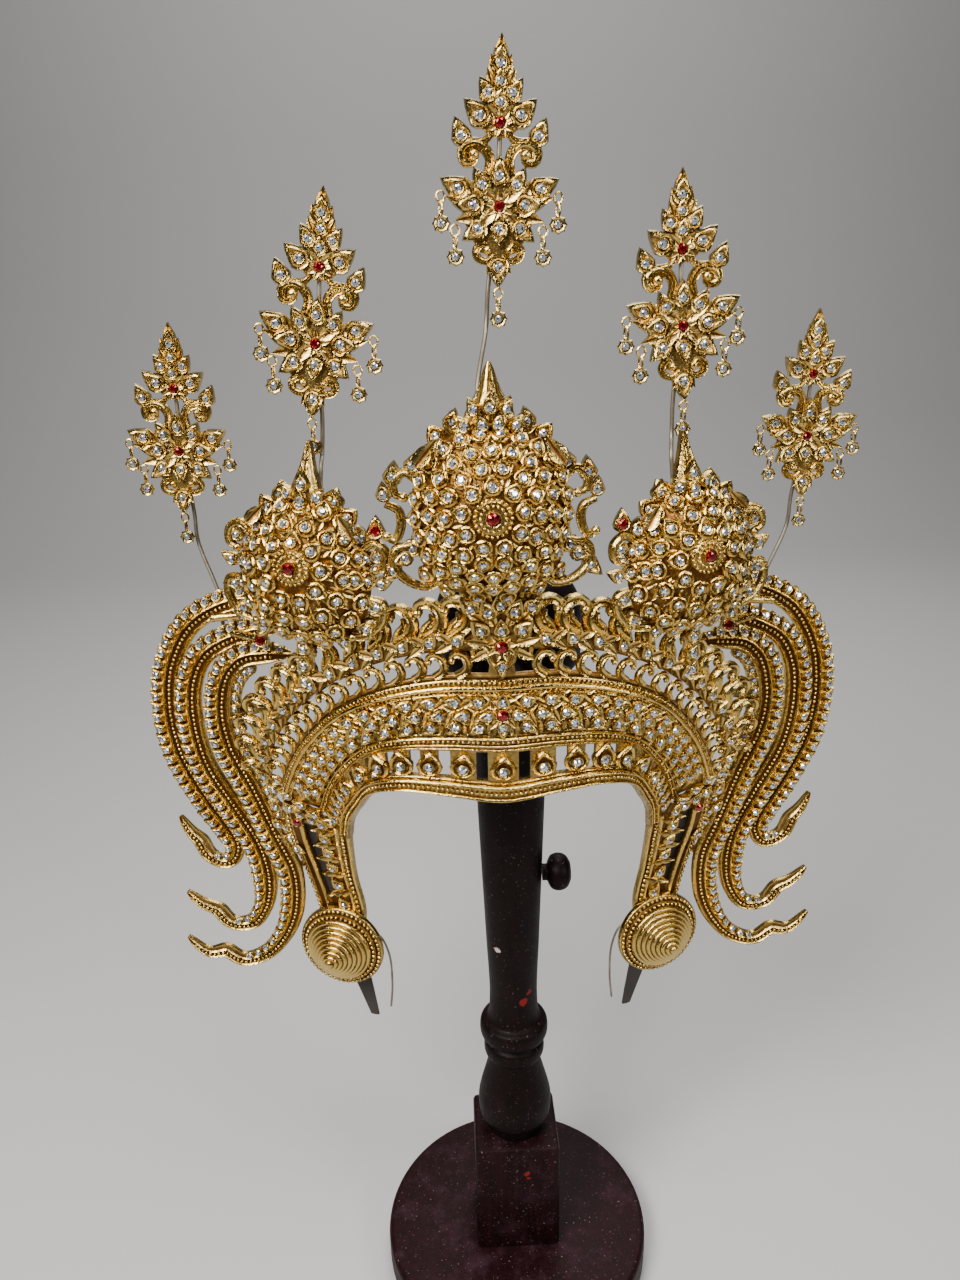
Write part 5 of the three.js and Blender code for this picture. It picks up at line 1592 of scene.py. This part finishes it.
class CROWN_OT_medallions(bpy.types.Operator):
    """Three domed medallions: rings of stones in lotus petals, rim leaves, scrolls and a finial"""

    bl_idname = "crown.medallions"
    bl_label = "Medallions"
    bl_options = {"REGISTER", "UNDO"}

    def execute(self, context):
        for number, (name, side) in enumerate(MEDALLION_SIDES.items()):
            title = f"medallion_{name}"
            seed = 20 + 9 * number
            kind = medallion_kind(name)
            matrix = medallion_frame(name)
            dome = Dome(kind)
            self.casting(kind, dome, matrix, side).piece(f"{title}_casting", [title])
            petals = self.petals(kind, dome, matrix).sided(side)
            leaves = (self.rim_leaves(kind, dome, matrix) + self.finial_leaves(kind, matrix)).sided(side)
            horns = leaf_rows(matrix, [kind["horn"]], 9.0, 0.1, facing=(-0.25, 0.4, 1)).sided(side)
            under = self.under(dome, matrix).sided(side)
            scatter(f"{title}_horns", horns, shape_blade(), seed=seed + 3)
            scatter(f"{title}_petals", petals.moved(1.2), shape_lotus(PETAL), scale=kind["petal"], tilt=6,
                    seed=seed)
            scatter(f"{title}_blades", under, shape_blade(), tilt=8, seed=seed + 4)
            scatter(f"{title}_leaves", leaves, shape_lotus(LEAF), seed=seed + 1)
            stones = petals.moved(2.0, 0, 1.0) + leaves.moved(1.1, 0, 0.95)
            set_stones(title, stones, size("medallion_cup"), seed=seed + 2, fill=0.8)
            circles = [moved(matrix, circle(72) * radius + (0, 0, kind["height"] + above)) * (side, 1, 1)
                       for radius, above in ROSETTE_BEADS]
            string_beads(f"{title}_rosette_beads", circles, size("rosette_bead"), closed=True)
        return {"FINISHED"}

    def casting(self, kind, dome, matrix, side):
        """The hollow dome with its scrolls, its finial and the rosette under the red stone."""
        medallion = Casting()
        high = kind["height"]
        outer = [flat(dome.ring * share, high * rise) for share, rise in DOME[1:]]
        inner = [flat(dome.ring * (share * 0.955), high * rise * 0.96 - DOME_WALL)
                 for share, rise in DOME[1:]]
        # The dome's face gets low relief, so the gilt paints it dark with crevice shade between the petals
        relief = [0.1] * len(outer) + [0.4] * len(inner)
        medallion.loft(moved(matrix, outer + inner[::-1]), each_ring(relief), side)
        for points in kind["scrolls"]:
            scrolls(medallion, points, 1.9, matrix, 2.4, side)
        medallion.loft(moved(matrix, lathe(ROSETTE, 32) + (0, 0, high)), each_ring(ROSETTE), side)
        across, rise, relief = np.array(FINIAL_FACE).T
        finial = [leaf_ring(across, half, up, FINIAL_SEAT + rise * depth, -0.6)
                  for up, half, depth in kind["finial"]["rows"]]
        medallion.loft(moved(matrix, finial), [*relief, 0.3, 0.3], side)
        return medallion

    def petals(self, kind, dome, matrix):
        """The rings of petals round the red stone, each tilted out with the dome."""
        spots = Spots()
        for number, (radius, count) in enumerate(kind["rings"]):
            pull = kind["drop"] * radius / kind["rings"][-1][0]
            for k in range(count):
                angle = 2 * math.pi * (k + 0.5 * (number % 2)) / count
                tip = np.array((math.sin(angle), math.cos(angle), 0))
                place, out = dome.frame(radius * tip[0], radius * tip[1] * 1.02 + pull)
                spots.put(matrix, place, out + tip * 0.12, tip, 0.97 + 0.02 * number)
        for across, up in kind["extra"]:
            for side in sides_of(across):
                spots.put(matrix, *dome.frame(side * across, up), (side * across, up, 0))
        return spots

    def rim_leaves(self, kind, dome, matrix):
        """Leaves on the rim, which stand just over the dome's edge."""
        spots = Spots()
        for across, up, lean, long in kind["rim"]:
            for side in SIDES.values():
                place, out = dome.frame(side * across * 0.97, up * 0.97)
                spots.put(matrix, (side * across, up, place[2] + 1.6), out * (0.5, 0.5, 1.0),
                          leaning(side, lean, 0.12), long)
        return spots

    def finial_leaves(self, kind, matrix):
        """The stone-set leaves that wrap the foot of the finial."""
        spots = Spots()
        heights, halves, depths = zip(*kind["finial"]["rows"])
        for across, up, lean, long in kind["finial"]["leaves"]:
            for side in sides_of(across):
                out = side * across / np.interp(up, heights, halves)
                deep = FINIAL_SEAT + np.interp(up, heights, depths) * (1 - 0.35 * out**2) + 0.5
                spots.put(matrix, (side * across, up, deep), (out * 0.5, 0.05, 1), leaning(side, lean), long)
        return spots

    def under(self, dome, matrix):
        """Plain leaves all over the dome, seen between the petals."""
        spots = Spots()
        for radius in UNDER_RINGS:
            count = round(radius * 1.25)
            for angle in np.linspace(0, 2 * math.pi, count, endpoint=False) + 0.1 * radius:
                tip = np.array((math.sin(angle), math.cos(angle), 0))
                x, y, _ = radius * tip
                if dome.share(x, y) < 0.95:
                    place, out = dome.frame(x, y)
                    spots.put(matrix, place - out * 0.6, out, tip, 6.0)
        return spots


class Ridge:
    """One ridge of a wing: its line, the width it has left, and its directions."""

    def __init__(self, ridge):
        line = ridge["row"] + ridge["tail"]
        self.path = Path([(x, ridge["y"], z) for x, z in line])
        self.turnover = (len(ridge["row"]) - 1) / (len(line) - 1)

    def wide(self, shares):
        """The ridge's width, which swells from its rounded start and narrows along the tail."""
        shares = np.asarray(shares, float)
        along = np.clip((shares - self.turnover) / (1 - self.turnover), 0, 1)
        return np.interp(shares, *zip(*RIDGE_START)) * np.interp(along, *zip(*TAIL_WIDTH))

    def point(self, shares, out, proud):
        """Points of the ridge's face."""
        shares = np.atleast_1d(shares)
        wide = self.wide(shares)[:, None]
        beside = self.outer(shares) * wide * out
        return self.path.at(shares) + beside + FORWARD * np.maximum(wide, 0.5) * proud

    def outer(self, shares):
        """Directions to the ridge's outer side."""
        heading = self.path.heading(shares)
        return np.column_stack([-heading[:, 2], np.zeros(len(heading)), heading[:, 0]])

    def spot(self, share, out, proud):
        """One point of the face, the ridge's heading there and the direction to its outer side."""
        return self.point(share, out, proud)[0], self.path.heading(share)[0], self.outer(share)[0]


class CROWN_OT_wings(bpy.types.Operator):
    """Naga wings: three ridges a side with stone rows, bead lines and flame tails"""

    bl_idname = "crown.wings"
    bl_label = "Naga wings"
    bl_options = {"REGISTER", "UNDO"}

    def execute(self, context):
        ridges = [Ridge(ridge) for ridge in RIDGES]
        stones, petals = Spots(), Spots()
        self.arch(ridges[-1], stones, petals)
        for ridge in ridges:
            self.settings(ridge, stones, petals)
        beads = [ridge.point(ridge.path.spaced(1.2, 0.05, 0.97), *RIDGE_BEADS) for ridge in ridges]
        for number, (name, side) in enumerate(SIDES.items()):
            title = f"naga_wing_{name}"
            seed = 50 + 9 * number
            self.casting(ridges, side).piece(f"{title}_casting", [title], smooth=55)
            scatter(f"{title}_petals", petals.sided(side), shape_lotus(LEAF), seed=seed)
            set_stones(title, stones.sided(side), size("wing_cup"), seed=seed + 1)
            string_beads(f"{title}_beads", [line * (side, 1, 1) for line in beads], size("wing_bead"))
        return {"FINISHED"}

    def casting(self, ridges, side):
        """The soldered ridges, the flat bars behind them that reach the crest, and the rolled tubes."""
        wing = Casting()
        shares = np.linspace(0, 1, 110)
        relief = [relief for *_, relief in RIDGE_FACE] + [BACK_RELIEF] * 2
        for ridge in ridges:
            front = [ridge.point(shares, out, proud) for out, proud, _ in RIDGE_FACE]
            edge = [ridge.point(shares, RIDGE_FACE[end][0], -WING_BACK) for end in (-1, 0)]
            wing.loft(np.stack(front + edge, axis=1), relief, side)
        for (x0, z0), (x1, z1), y in WING_BARS:
            ends = ((x0, z0, y + 1.0), (x1, z1, y + 3.4))
            wing.loft([[(x, back, z - 3), (x, back, z + 3), (x, back - 2.2, z + 3), (x, back - 2.2, z - 3)]
                       for x, z, back in ends], 0.4, side)
        for start, end in np.array(SOCKETS):
            beside = unit(np.cross(end - start, (0, 0, 1)))
            above = np.cross(beside, unit(end - start))
            around = circle(16)
            around = around[:, :1] * beside + around[:, 1:2] * above
            wing.loft([start + (end - start) * share + radius * around for share, radius, _ in TUBE],
                      each_ring(TUBE), side)
        return wing

    def settings(self, ridge, stones, petals):
        """Stones in flame settings down the outer flank of a ridge, smaller into the tail."""
        last = ridge.turnover + (1 - ridge.turnover) * 0.45
        for share in ridge.path.spaced(5.7, 0.03, last):
            where, heading, out = ridge.spot(share, 0.55, 1.7)
            wide = float(ridge.wide(share))
            facing = unit(FORWARD + out * 0.35)
            tip = out * 0.75 - heading * 0.85
            petals.add(where, facing, tip, 7.6 * wide)
            stones.add(where + facing * 0.9, facing, tip, 0.45 + 0.55 * wide)

    def arch(self, ridge, stones, petals):
        """Stones in leaves down the inner side of the inmost ridge."""
        for share in ridge.path.spaced(7.4, 0.12, ARCH_END):
            where, heading, out = ridge.spot(share, -11.0, -0.6)
            tip = heading * 0.75 - out * 0.7
            petals.add(where, FORWARD, tip, 8.5)
            stones.add(where + FORWARD * 0.9, FORWARD, tip, 0.9)


def boss_back(x):
    """Where the back of an ear boss lies at a place across."""
    return BOSS["at"][1] + (x - BOSS["at"][0]) * math.tan(math.radians(BOSS["yaw"]))


def boss_frame():
    """Where the right boss sits: its own z looks out of its face."""
    return shift(BOSS["at"]) @ turn("Z", BOSS["yaw"]) @ turn("X", 90)


class Flap:
    """The ear flap's face: across from its inner to its outer edge, down from the band to the boss."""

    def __init__(self):
        inner, outer = [], []
        for x0, y0, z0, x1, y1, z1, forward in FLAP_ROWS:
            seat = FLAP_SEAT - forward
            inner.append((x0, boss_back(x0) + seat if y0 is None else y0, z0))
            outer.append((x1, boss_back(x1) + seat if y1 is None else y1, z1))
        self.inner = Path(inner)
        self.outer = Path(outer)

    def plain(self, across, down):
        """Points of the face itself."""
        return self.inner.at(down) * (1 - across[:, None]) + self.outer.at(down) * across[:, None]

    def out(self, across, down):
        """Directions out of the face."""
        step = 0.01
        beside = self.outer.at(down) - self.inner.at(down)
        below = self.plain(across, np.minimum(down + step, 1))
        above = self.plain(across, np.maximum(down - step, 0))
        return unit(np.cross(below - above, beside))

    def point(self, across, down, proud):
        """Points that stand proud of the face."""
        values = (np.atleast_1d(np.asarray(value, float)) for value in (across, down, proud))
        across, down, proud = np.broadcast_arrays(*values)
        return self.plain(across, down) + self.out(across, down) * proud[:, None]

    def spot(self, across, down, proud):
        """One point that stands proud of the face, and the direction out of it there."""
        return self.point(across, down, proud)[0], self.out(np.array([across]), np.array([down]))[0]


class CROWN_OT_ears(bpy.types.Operator):
    """Ear flaps, ringed bosses, leather tabs and bent wires on both sides"""

    bl_idname = "crown.ears"
    bl_label = "Ears"
    bl_options = {"REGISTER", "UNDO"}

    def execute(self, context):
        flap = Flap()
        stones, leaves, blades = self.settings(flap)
        down = np.linspace(0.01, 0.9, 120)
        edges = [flap.point(across, down, proud) for across, proud in FLAP_BEADS]
        rings = [moved(boss_frame(), circle(96) * (BOSS["radius"] - inset) + (0, 0, height))
                 for inset, height in BOSS_BEADS]
        wire = Path([(x, boss_back(x) + 7.5, z) for x, z in EAR_WIRE]).evenly(40)
        for number, (name, side) in enumerate(SIDES.items()):
            over = (side, 1, 1)
            self.strap(flap, side).piece(f"ear_flap_{name}_casting", [f"ear_flap_{name}"])
            scatter(f"ear_flap_{name}_leaves", leaves.sided(side), shape_lotus(LEAF), seed=70 + number)
            scatter(f"ear_flap_{name}_blades", blades.sided(side), shape_blade(), seed=71 + number)
            set_stones(f"ear_flap_{name}", stones.sided(side), size("wing_cup"), seed=72 + number)
            string_beads(f"ear_flap_{name}_beads", [line * over for line in edges], size("flap_bead"))
            self.boss(side).piece(f"ear_boss_{name}_turning", [f"ear_boss_{name}"], smooth=60)
            string_beads(f"ear_boss_{name}_beads", [ring * over for ring in rings], size("boss_bead"), True)
            self.tab(flap, side).piece(f"ear_tab_{name}_leather", [f"ear_tab_{name}"], "leather")
            draw_wire(f"ear_wire_{name}_bent", wire * over, EAR_WIRE_RADIUS, f"ear_wire_{name}")
        return {"FINISHED"}

    def strap(self, flap, side):
        """The pierced strap of gilt sheet."""
        columns, proud, relief = np.array(FLAP_FACE).T
        left, right, first, last = FLAP_SLOT
        rows = np.unique(np.concatenate([np.linspace(0, 1, 46), [first, last]]).round(4))
        across, down = np.meshgrid(columns, rows)
        front, back = (flap.point(across.ravel(), down.ravel(), height).reshape(*across.shape, 3)
                       for height in (np.tile(proud, len(rows)), -SHEET))
        slot = cells(rows, first, last)[:, None] & cells(columns, left, right)
        strap = Casting()
        strap.sheet(front, back, relief, ~slot, side)
        return strap

    def settings(self, flap):
        """Stones in leaves down the flap and along its edge, with plain leaves between."""
        stones, leaves, blades = Spots(), Spots(), Spots()
        for down in np.linspace(0.05, 0.72, 6):
            where, out = flap.spot(FLAP_STONE_ACROSS, down, 1.3)
            above = unit(flap.spot(FLAP_STONE_ACROSS, max(down - 0.02, 0), 1.3)[0]
                         - flap.spot(FLAP_STONE_ACROSS, down + 0.02, 1.3)[0])
            beside = np.cross(above, out)
            leaves.add(where, out, above + beside * 0.35, 9.5)
            below = where - above * 4.6 - out * 0.3
            blades.add(below + beside * 2.2, out, beside - above * 0.2, 8)
            blades.add(below - beside * 2.2, out, above * 0.4 - beside, 8)
            stones.add(where + out, out, above)
        for across, down in FLAP_EDGE + FLAP_TOP:
            where, out = flap.spot(across, down, 0.4)
            tip = flap.spot(across + 0.15, down - 0.06, 0.4)[0] - where
            leaves.add(where + out * 0.6, out, tip, 9)
            stones.add(where + out * 1.6, out, tip)
        return stones, leaves, blades

    def boss(self, side):
        """The turned cone with its fine concentric ridges."""
        radius = BOSS["radius"]
        profile = [(0, 0, 0.3)] + [(radius - inset, height, relief) for inset, height, relief in BOSS_RIM]
        inset, foot, top = BOSS_CONE
        for k in range(BOSS_STEPS):
            for part in np.linspace(0, 1, 6)[:-1]:
                walk = (k + part) / BOSS_STEPS
                swell = math.sin(math.pi * part) ** 0.7
                profile.append(((radius - inset) * (1 - walk) + 0.5 * swell + 0.3,
                                foot + (top - foot) * walk**0.92 + 0.75 * swell, 0.05 + 0.95 * swell))
        profile.append((0, top + 0.4, 1.0))
        cone = Casting()
        cone.loft(moved(boss_frame(), lathe(profile, 56)), each_ring(profile), side)
        return cone

    def tab(self, flap, side):
        """The leather tongue behind the flap, pointed below the boss."""
        across = np.linspace(0.12, 0.9, 9)
        rows = [flap.point(across, down, -(SHEET + GAP)) for down in np.linspace(0.06, 1, 22)]
        low = rows[-1]
        tip = TAB_TIP + np.outer(np.linspace(-3.2, 1.6, 9), (1, 0.3, 0))
        for walk in np.linspace(0, 1, 12)[1:]:
            bow = (0, TAB_BOW * math.sin(math.pi * walk), 0)
            rows.append(low * (1 - walk) + tip * walk + bow)
        hollow = 0.5 - 0.5 * np.cos(np.linspace(-1.3, 1.3, 9))
        front = np.stack(rows) + np.outer(hollow, (0, 1, 0))
        tongue = Casting()
        tongue.sheet(front, front + (0, TAB_THICK, 0), 0.5, side=side)
        return tongue


class CROWN_OT_spires(bpy.types.Operator):
    """Five leaf spires on their spring wires, with small drops on jump rings"""

    bl_idname = "crown.spires"
    bl_label = "Spires"
    bl_options = {"REGISTER", "UNDO"}

    def execute(self, context):
        for number, (name, spire) in enumerate(SPIRES.items()):
            title = f"spire_{name}"
            seed = 90 + 7 * number
            matrix = spire_frame(spire)
            self.casting(matrix).piece(f"{title}_casting", [title])
            stones, leaves, blades, reds = self.settings(matrix)
            scatter(f"{title}_leaves", leaves, shape_lotus(LEAF), seed=seed, tilt=3)
            scatter(f"{title}_blades", blades, shape_blade(), seed=seed + 4, tilt=3)
            set_stones(title, stones, size("spire_cup"), seed=seed + 1)
            set_stones(f"{title}_middle", reds, size("spire_cup") * 1.2, "red", seed=seed + 2)
            self.drops(name, matrix, seed + 3)
            wire = self.wire(spire, matrix)
            draw_wire(f"spire_wire_{name}_spring", wire, WIRE_RADIUS, f"spire_wire_{name}")
        return {"FINISHED"}

    def casting(self, matrix):
        """The thin plates behind the leaves and the scrolls between them."""
        spire = Casting()
        for half in SPIRE_PLATES:
            ring = both_halves(half)
            middle = ring.mean(axis=0)
            rings = [flat((ring - middle) * share + middle, depth * SPIRE_THICK)
                     for share, depth in ((0.96, -0.5), (1, 0), (0.95, 0.5))]
            # Low relief paints the plates with crevice shade behind the leaves
            spire.loft(moved(matrix, rings), each_ring([0.4, 0.5, 0.32]))
        for points, half in SPIRE_SCROLLS:
            scrolls(spire, points, half, matrix, 0.7)
        return spire

    def settings(self, matrix):
        """Stones, the leaf round each, plain leaves between, and the two red ones with their daisy rims."""
        leaves = leaf_rows(matrix, SPIRE_SETTINGS, 1.0, 0.08, 0.98)
        stones = leaf_rows(matrix, SPIRE_SETTINGS, 2.0, 0.08, column=1)
        blades = leaf_rows(matrix, SPIRE_LEAVES, 0.6, 0.05, 1.05)
        reds = Spots()
        out, tip = aimed(matrix, [(0, 0, 1), (0, 1, 0)])
        for across, up in SPIRE_REDS:
            where = moved(matrix, (across, up, 1.4))
            reds.add(where, out, tip)
            daisy(blades, where - out * 0.3, out, tip, 2.9, 9, 3.6)
        return stones, leaves, blades, reds

    def drops(self, name, matrix, seed):
        """The five drops of a spire, hanging straight down from their leaf tips."""
        spots = Spots()
        for hook in HOOKS.values():
            spots.add(moved(matrix, (*hook, 1.0)), FORWARD, UPRIGHT)
        nodes = [f"drop_{name}_{hook}" for hook in HOOKS]
        scatter(f"drops_{name}_links", spots, shape_drop(), nodes=nodes, tilt=0, seed=seed)
        stones = spots.moved(0.55, DROP_STONE, 1.0)
        scatter(f"drops_{name}_stones", stones, shape_stone(), "clear", 1.6, tilt=3, seed=seed)

    def wire(self, spire, matrix):
        """The spring wire from its foot up behind the spire."""
        over = (spire["side"], 1, 1)
        foot = WING_FOOT
        if spire["foot"] is not None:
            top = medallion_kind(spire["foot"])["finial"]["rows"][-1][0]
            foot = [(-4.2, top - low, -1.2) for low in FINIAL_FOOT]
            foot = moved(medallion_frame(spire["foot"]), foot)
        run = [(-spire["side"] * aside, up, -1.2 - behind) for aside, up, behind in WIRE_RUN]
        return Path(np.vstack([np.multiply(foot, over), moved(matrix, run)])).evenly(60)


class CROWN_OT_red_stones(bpy.types.Operator):
    """The red stones of the band, the crest and the medallions"""

    bl_idname = "crown.red_stones"
    bl_label = "Red stones"
    bl_options = {"REGISTER", "UNDO"}

    def execute(self, context):
        for name, place in RED_PLACES.items():
            self.one(f"{name}_red", place, FORWARD, f"{name}_red_stone")
        for name, side in MEDALLION_SIDES.items():
            matrix = medallion_frame(name)
            place = moved(matrix, (0, 0, medallion_kind(name)["height"] + 1.9)) * (side, 1, 1)
            facing = aimed(matrix, (0, 0, 1)) * (side, 1, 1)
            self.one(f"medallion_{name}_red", place, facing, f"medallion_red_stone_{name}")
        self.small_ones()
        return {"FINISHED"}

    def one(self, name, place, facing, node):
        """One red stone in its cup."""
        spot = Spots()
        spot.add(place, facing, UPRIGHT)
        stones = set_stones(name, spot, size("red_cup"), "red", seed=131)
        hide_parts(node)

    def small_ones(self):
        """The small red stones beside the medallions, on the wings' tubes and on the ear flaps."""
        small, leaves = Spots(), Spots()
        for x, y, z, turned in SMALL_REDS:
            for side in SIDES.values():
                across, ahead, up = leaning(side, turned, 0.3)
                facing = (across, -ahead, up)
                small.add((side * x, y, z), facing, UPRIGHT)
                leaves.add((side * x, y + 1.2, z), facing, UPRIGHT, 10.5)
        scatter("small_reds_leaves", leaves, shape_lotus(LEAF), seed=139)
        place, out = Flap().spot(*FLAP_RED, 3.2)
        for side in SIDES.values():
            small.add(place * (side, 1, 1), out * (side, 1, 1), UPRIGHT)
        set_stones("small_reds", small, size("spire_cup") * 1.35, "red", seed=140)


class CROWN_PT_panel(bpy.types.Panel):
    """Lists the makers of the crown's pieces"""

    bl_idname = "CROWN_PT_panel"
    bl_label = "Apsara Crown"
    bl_space_type = "VIEW_3D"
    bl_region_type = "UI"
    bl_category = "Apsara Crown"

    def draw(self, context):
        for maker in MAKERS:
            self.layout.operator(maker.bl_idname)
        for group in (context.scene.crown_sizes, context.scene.crown_colours):
            box = self.layout.box()
            for name in group.__annotations__:
                box.prop(group, name)


MAKERS = (CROWN_OT_stage, CROWN_OT_stand, CROWN_OT_band, CROWN_OT_crest, CROWN_OT_medallions, CROWN_OT_wings,
          CROWN_OT_ears, CROWN_OT_spires, CROWN_OT_red_stones)
CLASSES = (CrownColours, CrownSizes, *MAKERS, CROWN_PT_panel)


def register():
    """Adds the classes and the scene's sizes and colours."""
    for item in CLASSES:
        bpy.utils.register_class(item)
    bpy.types.Scene.crown_colours = bpy.props.PointerProperty(type=CrownColours)
    bpy.types.Scene.crown_sizes = bpy.props.PointerProperty(type=CrownSizes)


def unregister():
    """Takes the classes and the scene's sizes and colours away again."""
    del bpy.types.Scene.crown_sizes
    del bpy.types.Scene.crown_colours
    for item in reversed(CLASSES):
        bpy.utils.unregister_class(item)


def main():
    """Makes the stage and every piece in order."""
    register()
    for maker in MAKERS:
        group, name = maker.bl_idname.split(".")
        getattr(getattr(bpy.ops, group), name)()


if __name__ == "__main__":
    main()
